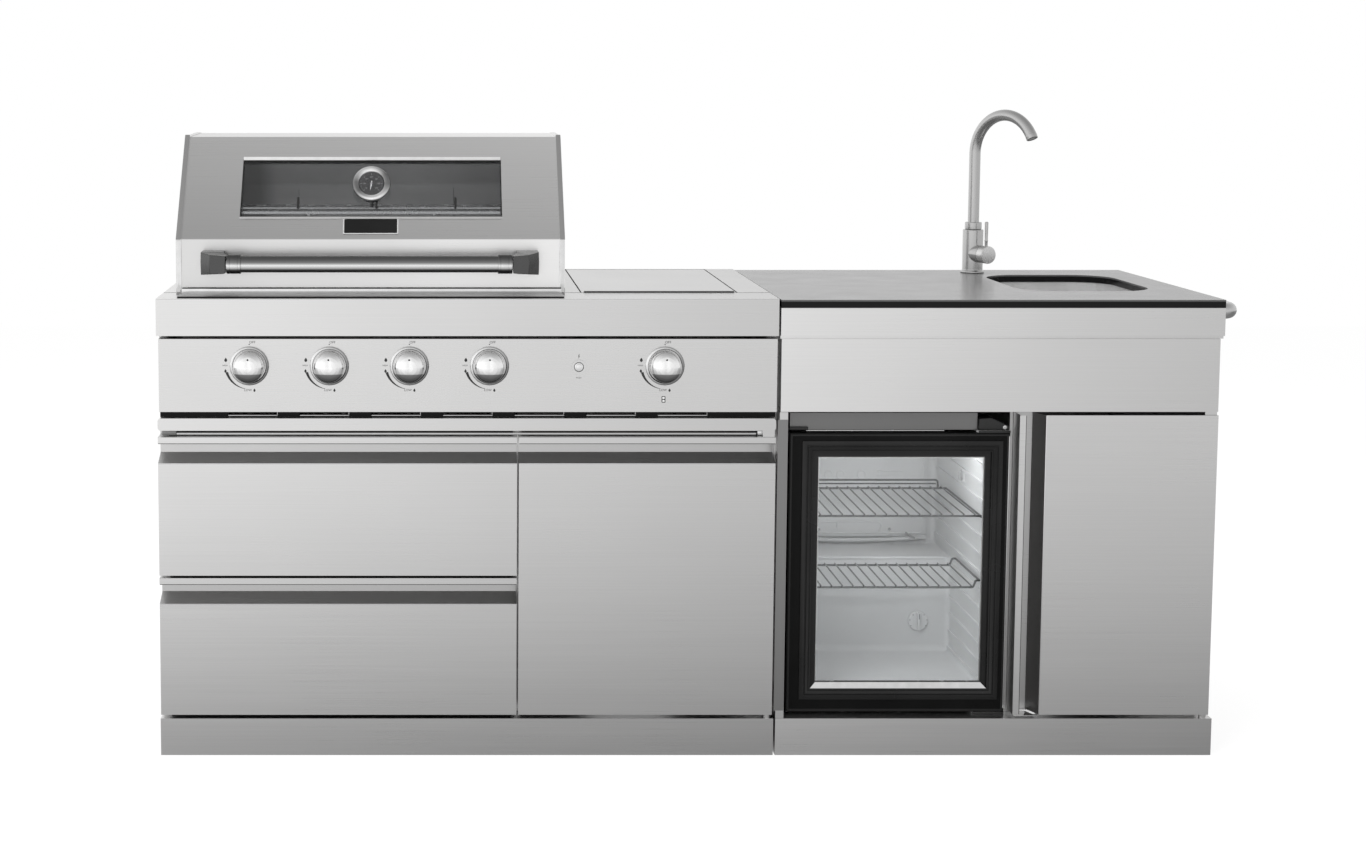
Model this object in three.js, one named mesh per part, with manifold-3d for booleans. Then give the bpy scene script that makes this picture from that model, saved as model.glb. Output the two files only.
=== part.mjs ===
// Outdoor kitchen island: a barbecue module and a sink and fridge module, side by side.
// Millimetres. Within a module x runs right from its left face, y back from the front plane and z up.

import * as THREE from 'three';
import { mergeVertices } from 'three/addons/utils/BufferGeometryUtils.js';
import Module from 'manifold-3d';

const wasm = await Module();
wasm.setup();

// Driving dimensions

const seam = 0.3; // joint between two pieces that meet
const runGap = 0.5; // running clearance of a sliding or turning piece
const overrun = 5; // how far a cut runs past the face it cuts
const bury = 1; // how far a joined feature reaches into the piece that carries it
const sheet = 2; // folded steel sheet
const panel = 16; // double-skin carcass panel
const carcassFront = 48; // front edges of the panels behind the doors

const unit = { height: 900, depth: 650, plinth: 73.5, moduleGap: 4, bbqWidth: 1200, sinkWidth: 855 };

const face = { // heights of the bands on the front, and the gaps that part them
  band: 72, bandGap: 6, control: 142, controlSet: 2, ventGap: 12.5, rail: 24, railGap: 13,
  frontsAbovePlinth: 7.5, doorTopGap: 6.5, drawerGap: 5, frontGap: 3.5, reveal: 1, rightReveal: 3,
  controlInset: 4,
};

const pull = { lip: 12, opening: 39, rise: 16, depth: 45, panelThick: 18 }; // finger pull of a front

const drawer = {
  frontWidth: 695.5, boxAboveFront: 22, boxBelowPull: 12, boxDepth: 480, travel: 400,
  runnerHeight: 45, runnerDepth: 13, runnerStart: 60, runnerBehind: 54,
};

const pivot = { inset: 9, pin: 4, pinReach: 8, boss: 7 }; // pins that the doors turn on

const rail = { depth: 20, cornerRadius: 6, slots: 7, slotLength: 96, slotPitch: 139, slotHeight: 8 };

const knob = {
  bezelRadius: 38, bezelHeight: 6, bezelInner: 32, radius: 30, baseRadius: 29, skirt: 5,
  pitch: 154.4, below: 52, bore: 4.3, socket: 20, proud: 42,
};

const spindle = { radius: 4, push: 4, hole: 7, inside: 16 };

const igniter = {
  fromHood: 404, below: 54, ringRadius: 13.75, ringHeight: 4, sleeve: 18, radius: 9, proud: 6, back: 14,
  rimShare: 0.8, crownShare: 0.85,
};

const manifold = { size: 22, setBack: 52, valveRadius: 14, nozzleRadius: 5, nozzleReach: 16, end: 40 };

const hood = { // its levels are measured from the top of the worktop
  left: 30, width: 762, front: 85, behind: 102, bottom: 14, bend: 109, slopeRun: 173, slopeTop: 304,
  topRise: 3, rearShoulder: 200, rearSlopeRun: 82, rearLean: 8, sheet: 2.5, hingeBehind: 12, hingeHeight: 12,
  knuckle: 8.5, knuckleShare: 0.12, hem: 1.5, hemWidth: 11, pin: 4, earRadius: 8.5, earWidth: 7,
};

const glazing = { width: 518, length: 153, fromTop: 52, lap: 12, thick: 4, hole: 8 };

const gauge = {
  bezelRadius: 38, dialRadius: 25, bodyRadius: 34, height: 20, recess: 6, tiltDegrees: 14, stem: 7,
  stemLength: 70, nut: 14, nutThick: 6, skirtShare: 0.5, landShare: 0.8, bevelShare: 1 / 3,
};

const handle = { // its height is measured from the lower edge of the hood
  radius: 16, height: 50.5, ahead: 58, halfLength: 276, collarRadius: 18.5, collarWidth: 27,
  postWidth: 43, postHeight: 45, postStart: 285, postHeel: 32,
};

const firebox = {
  wall: 8, rim: 2, upstand: 9, cornerRadius: 4, depth: 185, sill: 30, drain: 20, ledge: 14, ledgeDrop: 32,
  bumper: 20, rearShelf: 24,
};

const burner = { radius: 16, bore: 11, boreDepth: 26, inset: 26, crossover: 12, start: 84 };

const grate = { thick: 14, margin: 6, splitShare: 0.64, bar: 12, slot: 11, frame: 18, crossBar: 14 };

const hotplate = {
  thick: 8, lip: 14, lipWidth: 8, ribs: 9, ribWidth: 6, ribHeight: 2, ribsFromFront: 48, drain: 12,
  drainFromFront: 24,
};

// The warming rack is measured up from the grate and back from the slope of the hood
const rack = { height: 171.7, frontGap: 20.6, depth: 230, sideGap: 1.75, wire: 5, rods: 7, crossRods: 4 };

const cover = {
  left: 828, width: 306, front: 124, thick: 12, gap: 3, barrel: 6, pin: 3, pinReach: 18,
};

const bowl = {
  ledge: 14, front: 24, behind: 100.7, drop: 74, burnerRadius: 45, capRadius: 38, stem: 20, capHeight: 40,
  skirtShare: 0.5, rimShare: 0.6, landShare: 0.75, capShare: 0.8,
};

const trivet = { size: 230, bar: 10, finger: 62, legRadius: 4, below: 8, thick: 10 };

const service = { width: 180, height: 120, fromSide: 120, above: 60 }; // hole in a back panel for pipes

const bench = { lower: 2, thick: 15.5, fascia: 54.5, shadowSet: 8, apronSet: 3, apronInset: 7 };

const sink = {
  left: 512, width: 271, front: 170, behind: 121, corner: 80, reveal: 3, wall: 2, depth: 160, flange: 14,
  drain: 26,
};

const waste = {
  flange: 40, flangeThick: 2, dishShare: 0.8, neck: 25, nut: 38, nutThick: 14, tail: 20, tailLength: 90,
};

const tap = {
  left: 513, behind: 65, base: 25.5, baseHeight: 6, baseShare: 0.7, body: 22, height: 95, hole: 17.5,
  shank: 16, nut: 24, nutThick: 12, shankLength: 42, valve: 19, valveHeight: 43, valveReach: 40,
  cartridge: 20, valveTurn: 70.4,
  spigot: 9, spigotHeight: 12,
};

const spout = {
  tube: 12, collar: 18, collarHeight: 16, rise: 263, archRadius: 85, archDegrees: 155, turnDegrees: 58,
  bore: 9.4, outlet: 8, outletDepth: 10, archSteps: 12,
};

const lever = { radius: 4, ball: 5, length: 60, seat: 12, socket: 9 };

const fridge = {
  left: 24.5, width: 430, front: 30, doorDepth: 47.5, foot: 4.2, headroom: 39.5, behind: 90,
  wall: 35, cavityFloor: 118, topWall: 34, backWall: 83, humpDepth: 138, humpTop: 318,
  ribBase: 130, ribTopGap: 38, ribs: 13, ribHeight: 7, ribDepth: 4,
  lowerRibCount: 5, upperRibCount: 9,
};

const fridgeDoor = {
  apertureLeft: 58, apertureRight: 46, apertureTop: 48, apertureBottom: 58, pocket: 8, pocketDepth: 14,
  glassThick: 20, step: 5, stepWidth: 12, cabinetGap: 0.7, hingeInset: 5, bracketWidth: 57, bracketThick: 4,
  bracketBack: 34, sideGap: 3.5, lap: 9.5,
};

const shelf = {
  wire: 4, pitch: 22.5, sideGap: 1.5, front: 84, upperBehind: 97, lowerBehind: 53, upstand: 20,
};

const dial = {
  x: 353, height: 182, radius: 21.5, thick: 15, stem: 5, stemLength: 10, grip: 3,
  rimShare: 0.4, faceShare: 0.5, crownShare: 0.85, gripShare: 0.8,
};

const sideRail = {
  tube: 16, projection: 65, start: 100, length: 400, drop: 16, bend: 34, flange: 22, flangeThick: 4,
};

// How many flat sides a round surface is made with, and how many steps a rounded corner
const sides = { wide: 24, round: 20, bar: 16, rod: 12, slim: 8, nut: 6, bend: 3 };

// Finishes

const finish = (color, roughness, metalness) => (
  new THREE.MeshStandardMaterial({ color, roughness, metalness })
);
const steel = finish('#c2c3c2', 0.32, 1);
const innerSteel = finish('#9a9c9d', 0.45, 1);
const chrome = finish('#d9dadb', 0.12, 1);
const blackSteel = finish('#202224', 0.4, 0.7);
const castIron = finish('#1d1d1f', 0.7, 0.3);
const blackPlastic = finish('#141517', 0.45, 0);
const liner = finish('#c9ccce', 0.5, 0);
const stone = finish('#3a3b3e', 0.35, 0);
const smokedGlass = finish('#2a2f33', 0.08, 0);
const clearGlass = finish('#9fb0b6', 0.05, 0);

// Shapes and solids

const axisX = new THREE.Vector3(1, 0, 0);
const axisY = new THREE.Vector3(0, 1, 0);
const axisZ = new THREE.Vector3(0, 0, 1);
const degrees = THREE.MathUtils.degToRad;

function outline(corners) {
  return new THREE.Shape(corners.map(([a, b]) => new THREE.Vector2(a, b)));
}

// A line of bends moved to its left by a distance, with its corners kept sharp
function movedLeft(bends, distance) {
  const line = bends.map(([a, b]) => new THREE.Vector2(a, b));
  const side = (from, to) => new THREE.Vector2(from.y - to.y, to.x - from.x).normalize();
  return line.map((here, i) => {
    const before = i > 0 ? side(line[i - 1], here) : side(here, line[i + 1]);
    const after = i < line.length - 1 ? side(here, line[i + 1]) : before;
    const across = before.clone().add(after);
    const moved = here.clone().addScaledVector(across, distance / (1 + before.dot(after)));
    return [moved.x, moved.y];
  });
}

// A folded sheet lies between a line of bends and the same line moved over by its thickness
function foldedSheet(bends, thickness) {
  return outline([...bends, ...movedLeft(bends, thickness).reverse()]);
}

function roundedRectangle([x0, x1], [y0, y1], radius) {
  const shape = new THREE.Shape();
  shape.absarc(x1 - radius, y0 + radius, radius, -Math.PI / 2, 0);
  shape.absarc(x1 - radius, y1 - radius, radius, 0, Math.PI / 2);
  shape.absarc(x0 + radius, y1 - radius, radius, Math.PI / 2, Math.PI);
  shape.absarc(x0 + radius, y0 + radius, radius, Math.PI, Math.PI * 3 / 2);
  return shape;
}

function disc(radius, count, [x, y] = [0, 0]) {
  const ring = Array.from({ length: count }, (_, i) => {
    const angle = (i / count) * Math.PI * 2;
    return new THREE.Vector2(x + radius * Math.cos(angle), y + radius * Math.sin(angle));
  });
  return new THREE.Shape(ring);
}

const extrude = (shape, depth) => (
  new THREE.ExtrudeGeometry(shape, { depth, bevelEnabled: false, curveSegments: sides.bend })
);

// Prisms: an outline in (y, z) run along x, in (x, z) run along y, or in (x, y) run along z
function alongX(shape, [from, to]) {
  const turn = new THREE.Matrix4().makeBasis(axisY, axisZ, axisX);
  return extrude(shape, to - from).applyMatrix4(turn).translate(from, 0, 0);
}

function alongY(shape, [from, to]) {
  const turn = new THREE.Matrix4().makeBasis(axisX, axisZ, axisY.clone().negate());
  return extrude(shape, to - from).applyMatrix4(turn).translate(0, to, 0);
}

const alongZ = (shape, [from, to]) => extrude(shape, to - from).translate(0, 0, from);

function block([x0, x1], [y0, y1], [z0, z1]) {
  const box = new THREE.BoxGeometry(x1 - x0, y1 - y0, z1 - z0);
  return box.translate((x0 + x1) / 2, (y0 + y1) / 2, (z0 + z1) / 2);
}

// A turned solid about z, from [radius, height] pairs that start and end on the axis, or close on themselves
function turned(profile, count) {
  const lathe = new THREE.LatheGeometry(profile.map(([r, h]) => new THREE.Vector2(r, h)), count);
  return lathe.rotateX(Math.PI / 2);
}

function rod(from, to, radius, count = sides.rod) {
  const a = new THREE.Vector3(...from);
  const b = new THREE.Vector3(...to);
  const cylinder = new THREE.CylinderGeometry(radius, radius, a.distanceTo(b), count);
  cylinder.applyQuaternion(new THREE.Quaternion().setFromUnitVectors(axisY, b.clone().sub(a).normalize()));
  const middle = a.add(b).multiplyScalar(1 / 2);
  return cylinder.translate(middle.x, middle.y, middle.z);
}

// A route with one station per ring, for a tube that is straight between its bends
class Route extends THREE.Curve {
  constructor(stations) {
    super();
    this.stations = stations;
  }

  getPoint(t) {
    return this.stations[Math.round(t * (this.stations.length - 1))].clone();
  }

  getPointAt(u) {
    return this.getPoint(u);
  }

  getTangentAt(u) {
    const last = this.stations.length - 1;
    const i = Math.round(u * last);
    const [ahead, behind] = [this.stations[Math.min(i + 1, last)], this.stations[Math.max(i - 1, 0)]];
    return ahead.clone().sub(behind).normalize();
  }

  getSpacedPoints(divisions) {
    return Array.from({ length: divisions + 1 }, (_, i) => this.getPoint(i / divisions));
  }
}

function tube(stations, radius, count) {
  const settings = { steps: stations.length - 1, extrudePath: new Route(stations), bevelEnabled: false };
  return new THREE.ExtrudeGeometry(disc(radius, count), settings);
}

function solidOf(geometry) {
  const bare = geometry.clone();
  bare.deleteAttribute('normal');
  bare.deleteAttribute('uv');
  const merged = mergeVertices(bare);
  const index = merged.index.array;
  const kept = [];
  for (let i = 0; i < index.length; i += 3) {
    const [a, b, c] = [index[i], index[i + 1], index[i + 2]];
    if (a !== b && b !== c && c !== a) kept.push(a, b, c);
  }
  const vertProperties = merged.attributes.position.array;
  return new wasm.Manifold(new wasm.Mesh({ numProp: 3, vertProperties, triVerts: new Uint32Array(kept) }));
}

function geometryOf(solid) {
  const { vertProperties, triVerts } = solid.getMesh();
  const geometry = new THREE.BufferGeometry();
  geometry.setAttribute('position', new THREE.BufferAttribute(vertProperties, 3));
  geometry.setIndex(new THREE.BufferAttribute(triVerts, 1));
  const flat = geometry.toNonIndexed();
  flat.computeVertexNormals();
  return flat;
}

const join = (...pieces) => geometryOf(pieces.map(solidOf).reduce((all, piece) => all.add(piece)));
const cut = (body, ...tools) => (
  geometryOf(tools.reduce((left, tool) => left.subtract(solidOf(tool)), solidOf(body)))
);

function piece(name, geometry, material) {
  const mesh = new THREE.Mesh(geometry, material);
  mesh.name = name;
  return mesh;
}

function placed(item, [x, y, z]) {
  item.position.set(x, y, z);
  return item;
}

// Levels of the front, worked down from the worktop, and places that several pieces share

const bandBottom = unit.height - face.band;
const controlTop = bandBottom - face.bandGap;
const controlBottom = controlTop - face.control;
const knobLevel = controlTop - knob.below;
const igniterLevel = controlTop - igniter.below;
const railTop = controlBottom - face.ventGap;
const railBottom = railTop - face.rail;
const frontsTop = railBottom - face.railGap;
const frontsBottom = unit.plinth + face.frontsAbovePlinth;
const drawerHeight = (frontsTop - frontsBottom - face.drawerGap) / 2;
const drawerTops = { upper: frontsTop, lower: frontsTop - drawerHeight - face.drawerGap };
const gasDoorLeft = face.reveal + drawer.frontWidth + face.frontGap;
const gasDoorRight = unit.bbqWidth - face.rightReveal;
const dividerLeft = gasDoorLeft - (face.frontGap + panel) / 2;
const carcassBottom = unit.plinth + seam;
const carcassTop = bandBottom - seam;
const hoodMiddle = hood.left + hood.width / 2;
const hoodRight = hood.left + hood.width;
const hoodRear = unit.depth - hood.behind;
const hoodLevel = {
  bottom: unit.height + hood.bottom,
  bend: unit.height + hood.bend,
  slopeTop: unit.height + hood.slopeTop,
  shoulder: unit.height + hood.rearShoulder,
  hinge: unit.height + hood.hingeHeight,
};
const fireboxFloor = unit.height - firebox.depth;
const grateLedge = unit.height - firebox.ledgeDrop;
const benchTop = unit.height - bench.lower;
const hingeY = hoodRear + hood.hingeBehind;
const handleLevel = hoodLevel.bottom + handle.height;
const panelBack = face.controlSet + sheet;
const burnerOffsets = [-3 / 2, -1 / 2, 1 / 2, 3 / 2];
const grillKnobs = burnerOffsets.map((step) => hoodMiddle + step * knob.pitch);
const knobPlaces = [...grillKnobs, cover.left + cover.width / 2];

// Pieces that both modules have

function base(width, pinX) {
  const shell = block([0, width], [0, unit.depth], [0, unit.plinth]);
  const hollow = block([sheet, width - sheet], [sheet, unit.depth - sheet], [-overrun, unit.plinth - sheet]);
  const pins = pivotPin(pinX, unit.plinth - bury, frontsBottom - seam, pivot.pinReach);
  return join(cut(shell, hollow), ...pins);
}

// A boss that a door stands on or hangs under, and the pin that it turns on
function pivotPin(x, foot, end, reach) {
  const tip = end + seam + reach;
  return [
    rod([x, pivot.inset, foot], [x, pivot.inset, end], pivot.boss),
    rod([x, pivot.inset, foot], [x, pivot.inset, tip], pivot.pin),
  ];
}

function pivotBore(x, [from, to]) {
  return rod([x, pivot.inset, from], [x, pivot.inset, to], pivot.pin + seam);
}

// Section of a door or drawer front: depth from its face, and distance from the edge with the finger pull
function frontSection(length) {
  const mouth = pull.lip + pull.opening;
  const slant = (depth) => mouth - pull.rise * depth / pull.depth;
  const inner = pull.depth - sheet;
  return [
    [0, 0], [pull.depth, 0], [pull.depth, slant(pull.depth) + sheet],
    [pull.panelThick, slant(pull.panelThick) + sheet], [pull.panelThick, length], [0, length],
    [0, mouth], [inner, slant(inner)], [inner, sheet], [sheet, sheet], [sheet, pull.lip], [0, pull.lip],
  ];
}

function levelFront([left, right], top, height) {
  const section = frontSection(height).map(([depth, down]) => [depth, top - down]);
  return alongX(outline(section), [left, right]);
}

function backPanel(width, top) {
  const left = width - panel - service.fromSide - service.width;
  const low = carcassBottom + service.above;
  const sheetPanel = block(
    [panel + seam, width - panel - seam],
    [unit.depth - panel, unit.depth],
    [carcassBottom, top],
  );
  const hole = block(
    [left, left + service.width],
    [unit.depth - panel - overrun, unit.depth + overrun],
    [low, low + service.height],
  );
  return cut(sheetPanel, hole);
}

// Carcass of the barbecue module

function runner(side, wallX, top) {
  const middle = (drawerBoxLevels(top)[0] + drawerBoxLevels(top)[1]) / 2;
  const [low, high] = [middle - drawer.runnerHeight / 2, middle + drawer.runnerHeight / 2];
  const web = wallX - side * bury;
  const tip = wallX + side * drawer.runnerDepth;
  const bends = [[tip, high], [web, high], [web, low], [tip, low]];
  if (side < 0) bends.reverse();
  return alongY(foldedSheet(bends, sheet), [drawer.runnerStart, unit.depth - panel - drawer.runnerBehind]);
}

function drawerBoxLevels(top) {
  return [top - drawerHeight + drawer.boxAboveFront, top - pull.lip - pull.opening - drawer.boxBelowPull];
}

function runners(side, wallX) {
  return [runner(side, wallX, drawerTops.upper), runner(side, wallX, drawerTops.lower)];
}

function bbqCarcass() {
  const width = unit.bbqWidth;
  const walls = [carcassFront, unit.depth];
  const leftSide = block([0, panel], walls, [carcassBottom, carcassTop]);
  const rightSide = block([width - panel, width], walls, [carcassBottom, carcassTop]);
  const divider = block(
    [dividerLeft, dividerLeft + panel],
    [carcassFront, unit.depth - panel - seam],
    [carcassBottom, railBottom - seam],
  );
  return [
    piece('bbq_base', base(width, gasDoorRight - pivot.inset), steel),
    piece('bbq_side_left', join(leftSide, ...runners(1, panel)), steel),
    piece('bbq_side_right', rightSide, steel),
    piece('bbq_back', backPanel(width, carcassTop), innerSteel),
    piece('bbq_divider', join(divider, ...runners(-1, dividerLeft)), innerSteel),
    piece('bbq_front_rail', frontRail(), steel),
    piece('control_panel', controlPanel(), steel),
    piece('bbq_worktop', worktop(), steel),
  ];
}

// The rail over the doors, with the slotted strip that lets air in behind it and the door's upper pivot
function frontRail() {
  const [left, right] = [face.reveal, unit.bbqWidth - face.rightReveal];
  const barFace = roundedRectangle([left, right], [railBottom, railTop], rail.cornerRadius);
  const bar = alongY(barFace, [0, rail.depth]);
  const bends = [
    [rail.depth - bury, controlBottom - seam],
    [rail.depth - bury, railBottom],
    [carcassFront - seam, railBottom],
  ];
  const strip = alongX(foldedSheet(bends, sheet), [panel, unit.bbqWidth - panel]);
  const middle = (railTop + controlBottom) / 2;
  const slots = Array.from({ length: rail.slots }, (_, i) => {
    const x = unit.bbqWidth / 2 + (i - (rail.slots - 1) / 2) * rail.slotPitch;
    return block(
      [x - rail.slotLength / 2, x + rail.slotLength / 2],
      [rail.depth + bury - overrun, rail.depth + overrun],
      [middle - rail.slotHeight / 2, middle + rail.slotHeight / 2],
    );
  });
  const pinX = gasDoorRight - pivot.inset;
  const bracket = block(
    [pinX - panel, pinX + pivot.boss],
    [sheet, rail.depth],
    [frontsTop + seam, railBottom + bury],
  );
  const pin = rod(
    [pinX, pivot.inset, railBottom],
    [pinX, pivot.inset, frontsTop - pivot.pinReach],
    pivot.pin,
  );
  return join(cut(join(bar, strip), ...slots), bracket, pin);
}

// The panel behind the knobs, with a raised ring round each knob and a sleeve for the igniter
function controlPanel() {
  const front = face.controlSet;
  const returns = carcassFront - seam;
  const bends = [
    [returns, controlTop], [front, controlTop], [front, controlBottom], [returns, controlBottom],
  ];
  const pressing = alongX(foldedSheet(bends, sheet), [face.controlInset, unit.bbqWidth - face.controlSet]);
  const ring = [
    [knob.bezelInner, -bury], [knob.bezelRadius, -bury], [knob.bezelRadius, knob.bezelHeight / 2],
    [(knob.bezelRadius + knob.bezelInner) / 2, knob.bezelHeight], [knob.bezelInner, -bury],
  ];
  const rings = knobPlaces.map((x) => (
    turned(ring, sides.round).rotateX(Math.PI / 2).translate(x, front, knobLevel)
  ));
  const igniterX = hoodMiddle + igniter.fromHood;
  const sleeve = rod(
    [igniterX, front - igniter.ringHeight, igniterLevel],
    [igniterX, front + igniter.sleeve, igniterLevel],
    igniter.ringRadius,
    20,
  );
  const holes = knobPlaces.map((x) => (
    rod([x, front - overrun, knobLevel], [x, front + overrun, knobLevel], spindle.hole)
  ));
  const sleeveBore = rod(
    [igniterX, front - igniter.ringHeight - overrun, igniterLevel],
    [igniterX, front + igniter.sleeve + overrun, igniterLevel],
    igniter.radius + runGap,
    20,
  );
  return cut(join(pressing, ...rings, sleeve), ...holes, sleeveBore);
}

// The pan of the grill, seen from above
const pan = {
  x: [hood.left + firebox.wall, hoodRight - firebox.wall],
  y: [hood.front + firebox.wall, hoodRear - firebox.wall],
};
const panInside = { x: [pan.x[0] + sheet, pan.x[1] - sheet], y: [pan.y[0] + sheet, pan.y[1] - sheet] };
const coverOpening = {
  x: [cover.left - cover.gap, cover.left + cover.width + cover.gap],
  y: [cover.front - cover.gap, unit.depth - sheet * 2 - seam],
};
const grown = ([low, high], by) => [low - by, high + by];

function worktop() {
  const shell = block([0, unit.bbqWidth], [0, unit.depth], [bandBottom, unit.height]);
  const hollow = block(
    [sheet, unit.bbqWidth - sheet],
    [sheet, unit.depth - sheet],
    [bandBottom - overrun, unit.height - sheet],
  );
  const through = [unit.height - overrun, unit.height + overrun];
  const grillOpening = block(grown(pan.x, runGap), grown(pan.y, runGap), through);
  return cut(shell, hollow, grillOpening, block(coverOpening.x, coverOpening.y, through));
}

// Grill: the firebox and what lies in it

function fireboxPan() {
  const rimBottom = unit.height + seam;
  const rimTop = rimBottom + firebox.rim;
  const gutter = firebox.sill;
  const section = [
    [pan.x[0], rimTop], [pan.x[0], fireboxFloor + firebox.sill], [hoodMiddle - gutter, fireboxFloor],
    [hoodMiddle + gutter, fireboxFloor], [pan.x[1], fireboxFloor + firebox.sill], [pan.x[1], rimTop],
  ];
  const floorAndSides = alongY(foldedSheet(section, sheet), pan.y);
  const frontWall = alongY(outline(section), [pan.y[0], panInside.y[0]]);
  const backWall = alongY(outline(section), [panInside.y[1], pan.y[1]]);
  const rimFront = hood.front - firebox.rim - bury;
  const rim = cut(
    block([hood.left, hoodRight], [rimFront, hoodRear + firebox.rearShelf], [rimBottom, rimTop]),
    block(panInside.x, panInside.y, [rimBottom - overrun, rimTop + overrun]),
  );
  const upstand = alongY(
    roundedRectangle(
      [hood.left + firebox.wall, hoodRight - firebox.wall],
      [rimBottom, rimTop + firebox.upstand],
      firebox.cornerRadius,
    ),
    [rimFront, rimFront + firebox.rim],
  );
  const ledges = [
    block(panInside.x, [pan.y[0], panInside.y[0] + firebox.ledge], [grateLedge - sheet, grateLedge]),
    block(panInside.x, [panInside.y[1] - firebox.ledge, pan.y[1]], [grateLedge - sheet, grateLedge]),
  ];
  const bumperRise = [rimTop - bury, hoodLevel.bottom - hood.hem - seam];
  const bumperDepth = [hood.front + bury, hood.front + firebox.bumper / 2];
  const bumpers = [
    block([hood.left, hood.left + firebox.wall], bumperDepth, bumperRise),
    block([hoodRight - firebox.wall, hoodRight], bumperDepth, bumperRise),
  ];
  const tubeHoles = grillKnobs.map((x) => rod(
    [x, pan.y[0] - overrun, knobLevel],
    [x, panInside.y[0] + overrun, knobLevel],
    burner.radius + runGap,
    16,
  ));
  const drain = rod(
    [hoodMiddle, (pan.y[0] + pan.y[1]) / 2, fireboxFloor - overrun],
    [hoodMiddle, (pan.y[0] + pan.y[1]) / 2, fireboxFloor + overrun],
    firebox.drain,
    16,
  );
  const body = join(floorAndSides, frontWall, backWall, rim, upstand, ...ledges, ...bumpers);
  return join(cut(body, ...tubeHoles, drain), ...hoodEar(1), ...hoodEar(-1));
}

// An ear on the rim beside each cheek of the hood, and the pin on it that the cheek turns about
function hoodEar(side) {
  const cheekOuter = hoodMiddle - side * hood.width / 2;
  const near = cheekOuter + side * (hood.hemWidth + runGap);
  const far = near + side * hood.earWidth;
  const foot = unit.height + seam + firebox.rim - bury;
  return [
    rod([near, hingeY, hoodLevel.hinge], [far, hingeY, hoodLevel.hinge], hood.earRadius, sides.bar),
    block(
      [Math.min(near, far), Math.max(near, far)],
      [hingeY - hood.earRadius, hingeY + hood.earRadius],
      [foot, hoodLevel.hinge],
    ),
    rod([cheekOuter + side * seam, hingeY, hoodLevel.hinge], [far, hingeY, hoodLevel.hinge], hood.pin),
  ];
}

function burnerBank() {
  const back = panInside.y[1] - burner.inset;
  const tubes = grillKnobs.map((x) => cut(
    rod([x, burner.start, knobLevel], [x, back, knobLevel], burner.radius),
    rod(
      [x, burner.start - overrun, knobLevel],
      [x, burner.start + burner.boreDepth, knobLevel],
      burner.bore,
    ),
  ));
  const half = burner.crossover / 2;
  const crossover = block(
    [grillKnobs[0], grillKnobs[grillKnobs.length - 1]],
    [back - burner.crossover * 2, back - burner.crossover],
    [knobLevel - half, knobLevel + half],
  );
  return join(...tubes, crossover);
}

const cookArea = { x: grown(panInside.x, -grate.margin), y: grown(panInside.y, -grate.margin) };
const cookWidth = cookArea.x[1] - cookArea.x[0] - grate.margin;
const grateRight = cookArea.x[0] + cookWidth * grate.splitShare;
const cookLevel = grateLedge + seam;

function grillGrate() {
  const level = [cookLevel, cookLevel + grate.thick];
  const plate = block([cookArea.x[0], grateRight], cookArea.y, level);
  const pitch = grate.bar + grate.slot;
  const count = Math.floor((grateRight - cookArea.x[0] - grate.frame * 2 + grate.bar) / pitch);
  const start = (grateRight + cookArea.x[0] - count * pitch + grate.bar) / 2;
  const middle = (cookArea.y[0] + cookArea.y[1]) / 2;
  const rows = [
    [cookArea.y[0] + grate.frame, middle - grate.crossBar / 2],
    [middle + grate.crossBar / 2, cookArea.y[1] - grate.frame],
  ];
  const slots = Array.from({ length: count }, (_, i) => start + i * pitch).flatMap((x) => (
    rows.map((y) => block([x, x + grate.slot], y, grown(level, overrun)))
  ));
  return cut(plate, ...slots);
}

function hotplateBody() {
  const x = [grateRight + grate.margin, cookArea.x[1]];
  const top = cookLevel + hotplate.lip;
  const well = cookLevel + hotplate.thick - hotplate.ribHeight;
  const inside = { x: grown(x, -hotplate.lipWidth), y: grown(cookArea.y, -hotplate.lipWidth) };
  const drain = rod(
    [(x[0] + x[1]) / 2, inside.y[0] + hotplate.drainFromFront, cookLevel - overrun],
    [(x[0] + x[1]) / 2, inside.y[0] + hotplate.drainFromFront, top],
    hotplate.drain,
  );
  const dish = cut(
    block(x, cookArea.y, [cookLevel, top]),
    block(inside.x, inside.y, [well, top + overrun]),
    drain,
  );
  const pitch = (inside.x[1] - inside.x[0]) / (hotplate.ribs + 1);
  const ribs = Array.from({ length: hotplate.ribs }, (_, i) => {
    const middle = inside.x[0] + (i + 1) * pitch;
    return block(
      [middle - hotplate.ribWidth / 2, middle + hotplate.ribWidth / 2],
      [inside.y[0] + hotplate.ribsFromFront, inside.y[1] - hotplate.drain],
      [well - bury, well + hotplate.ribHeight],
    );
  });
  return join(dish, ...ribs);
}

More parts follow.
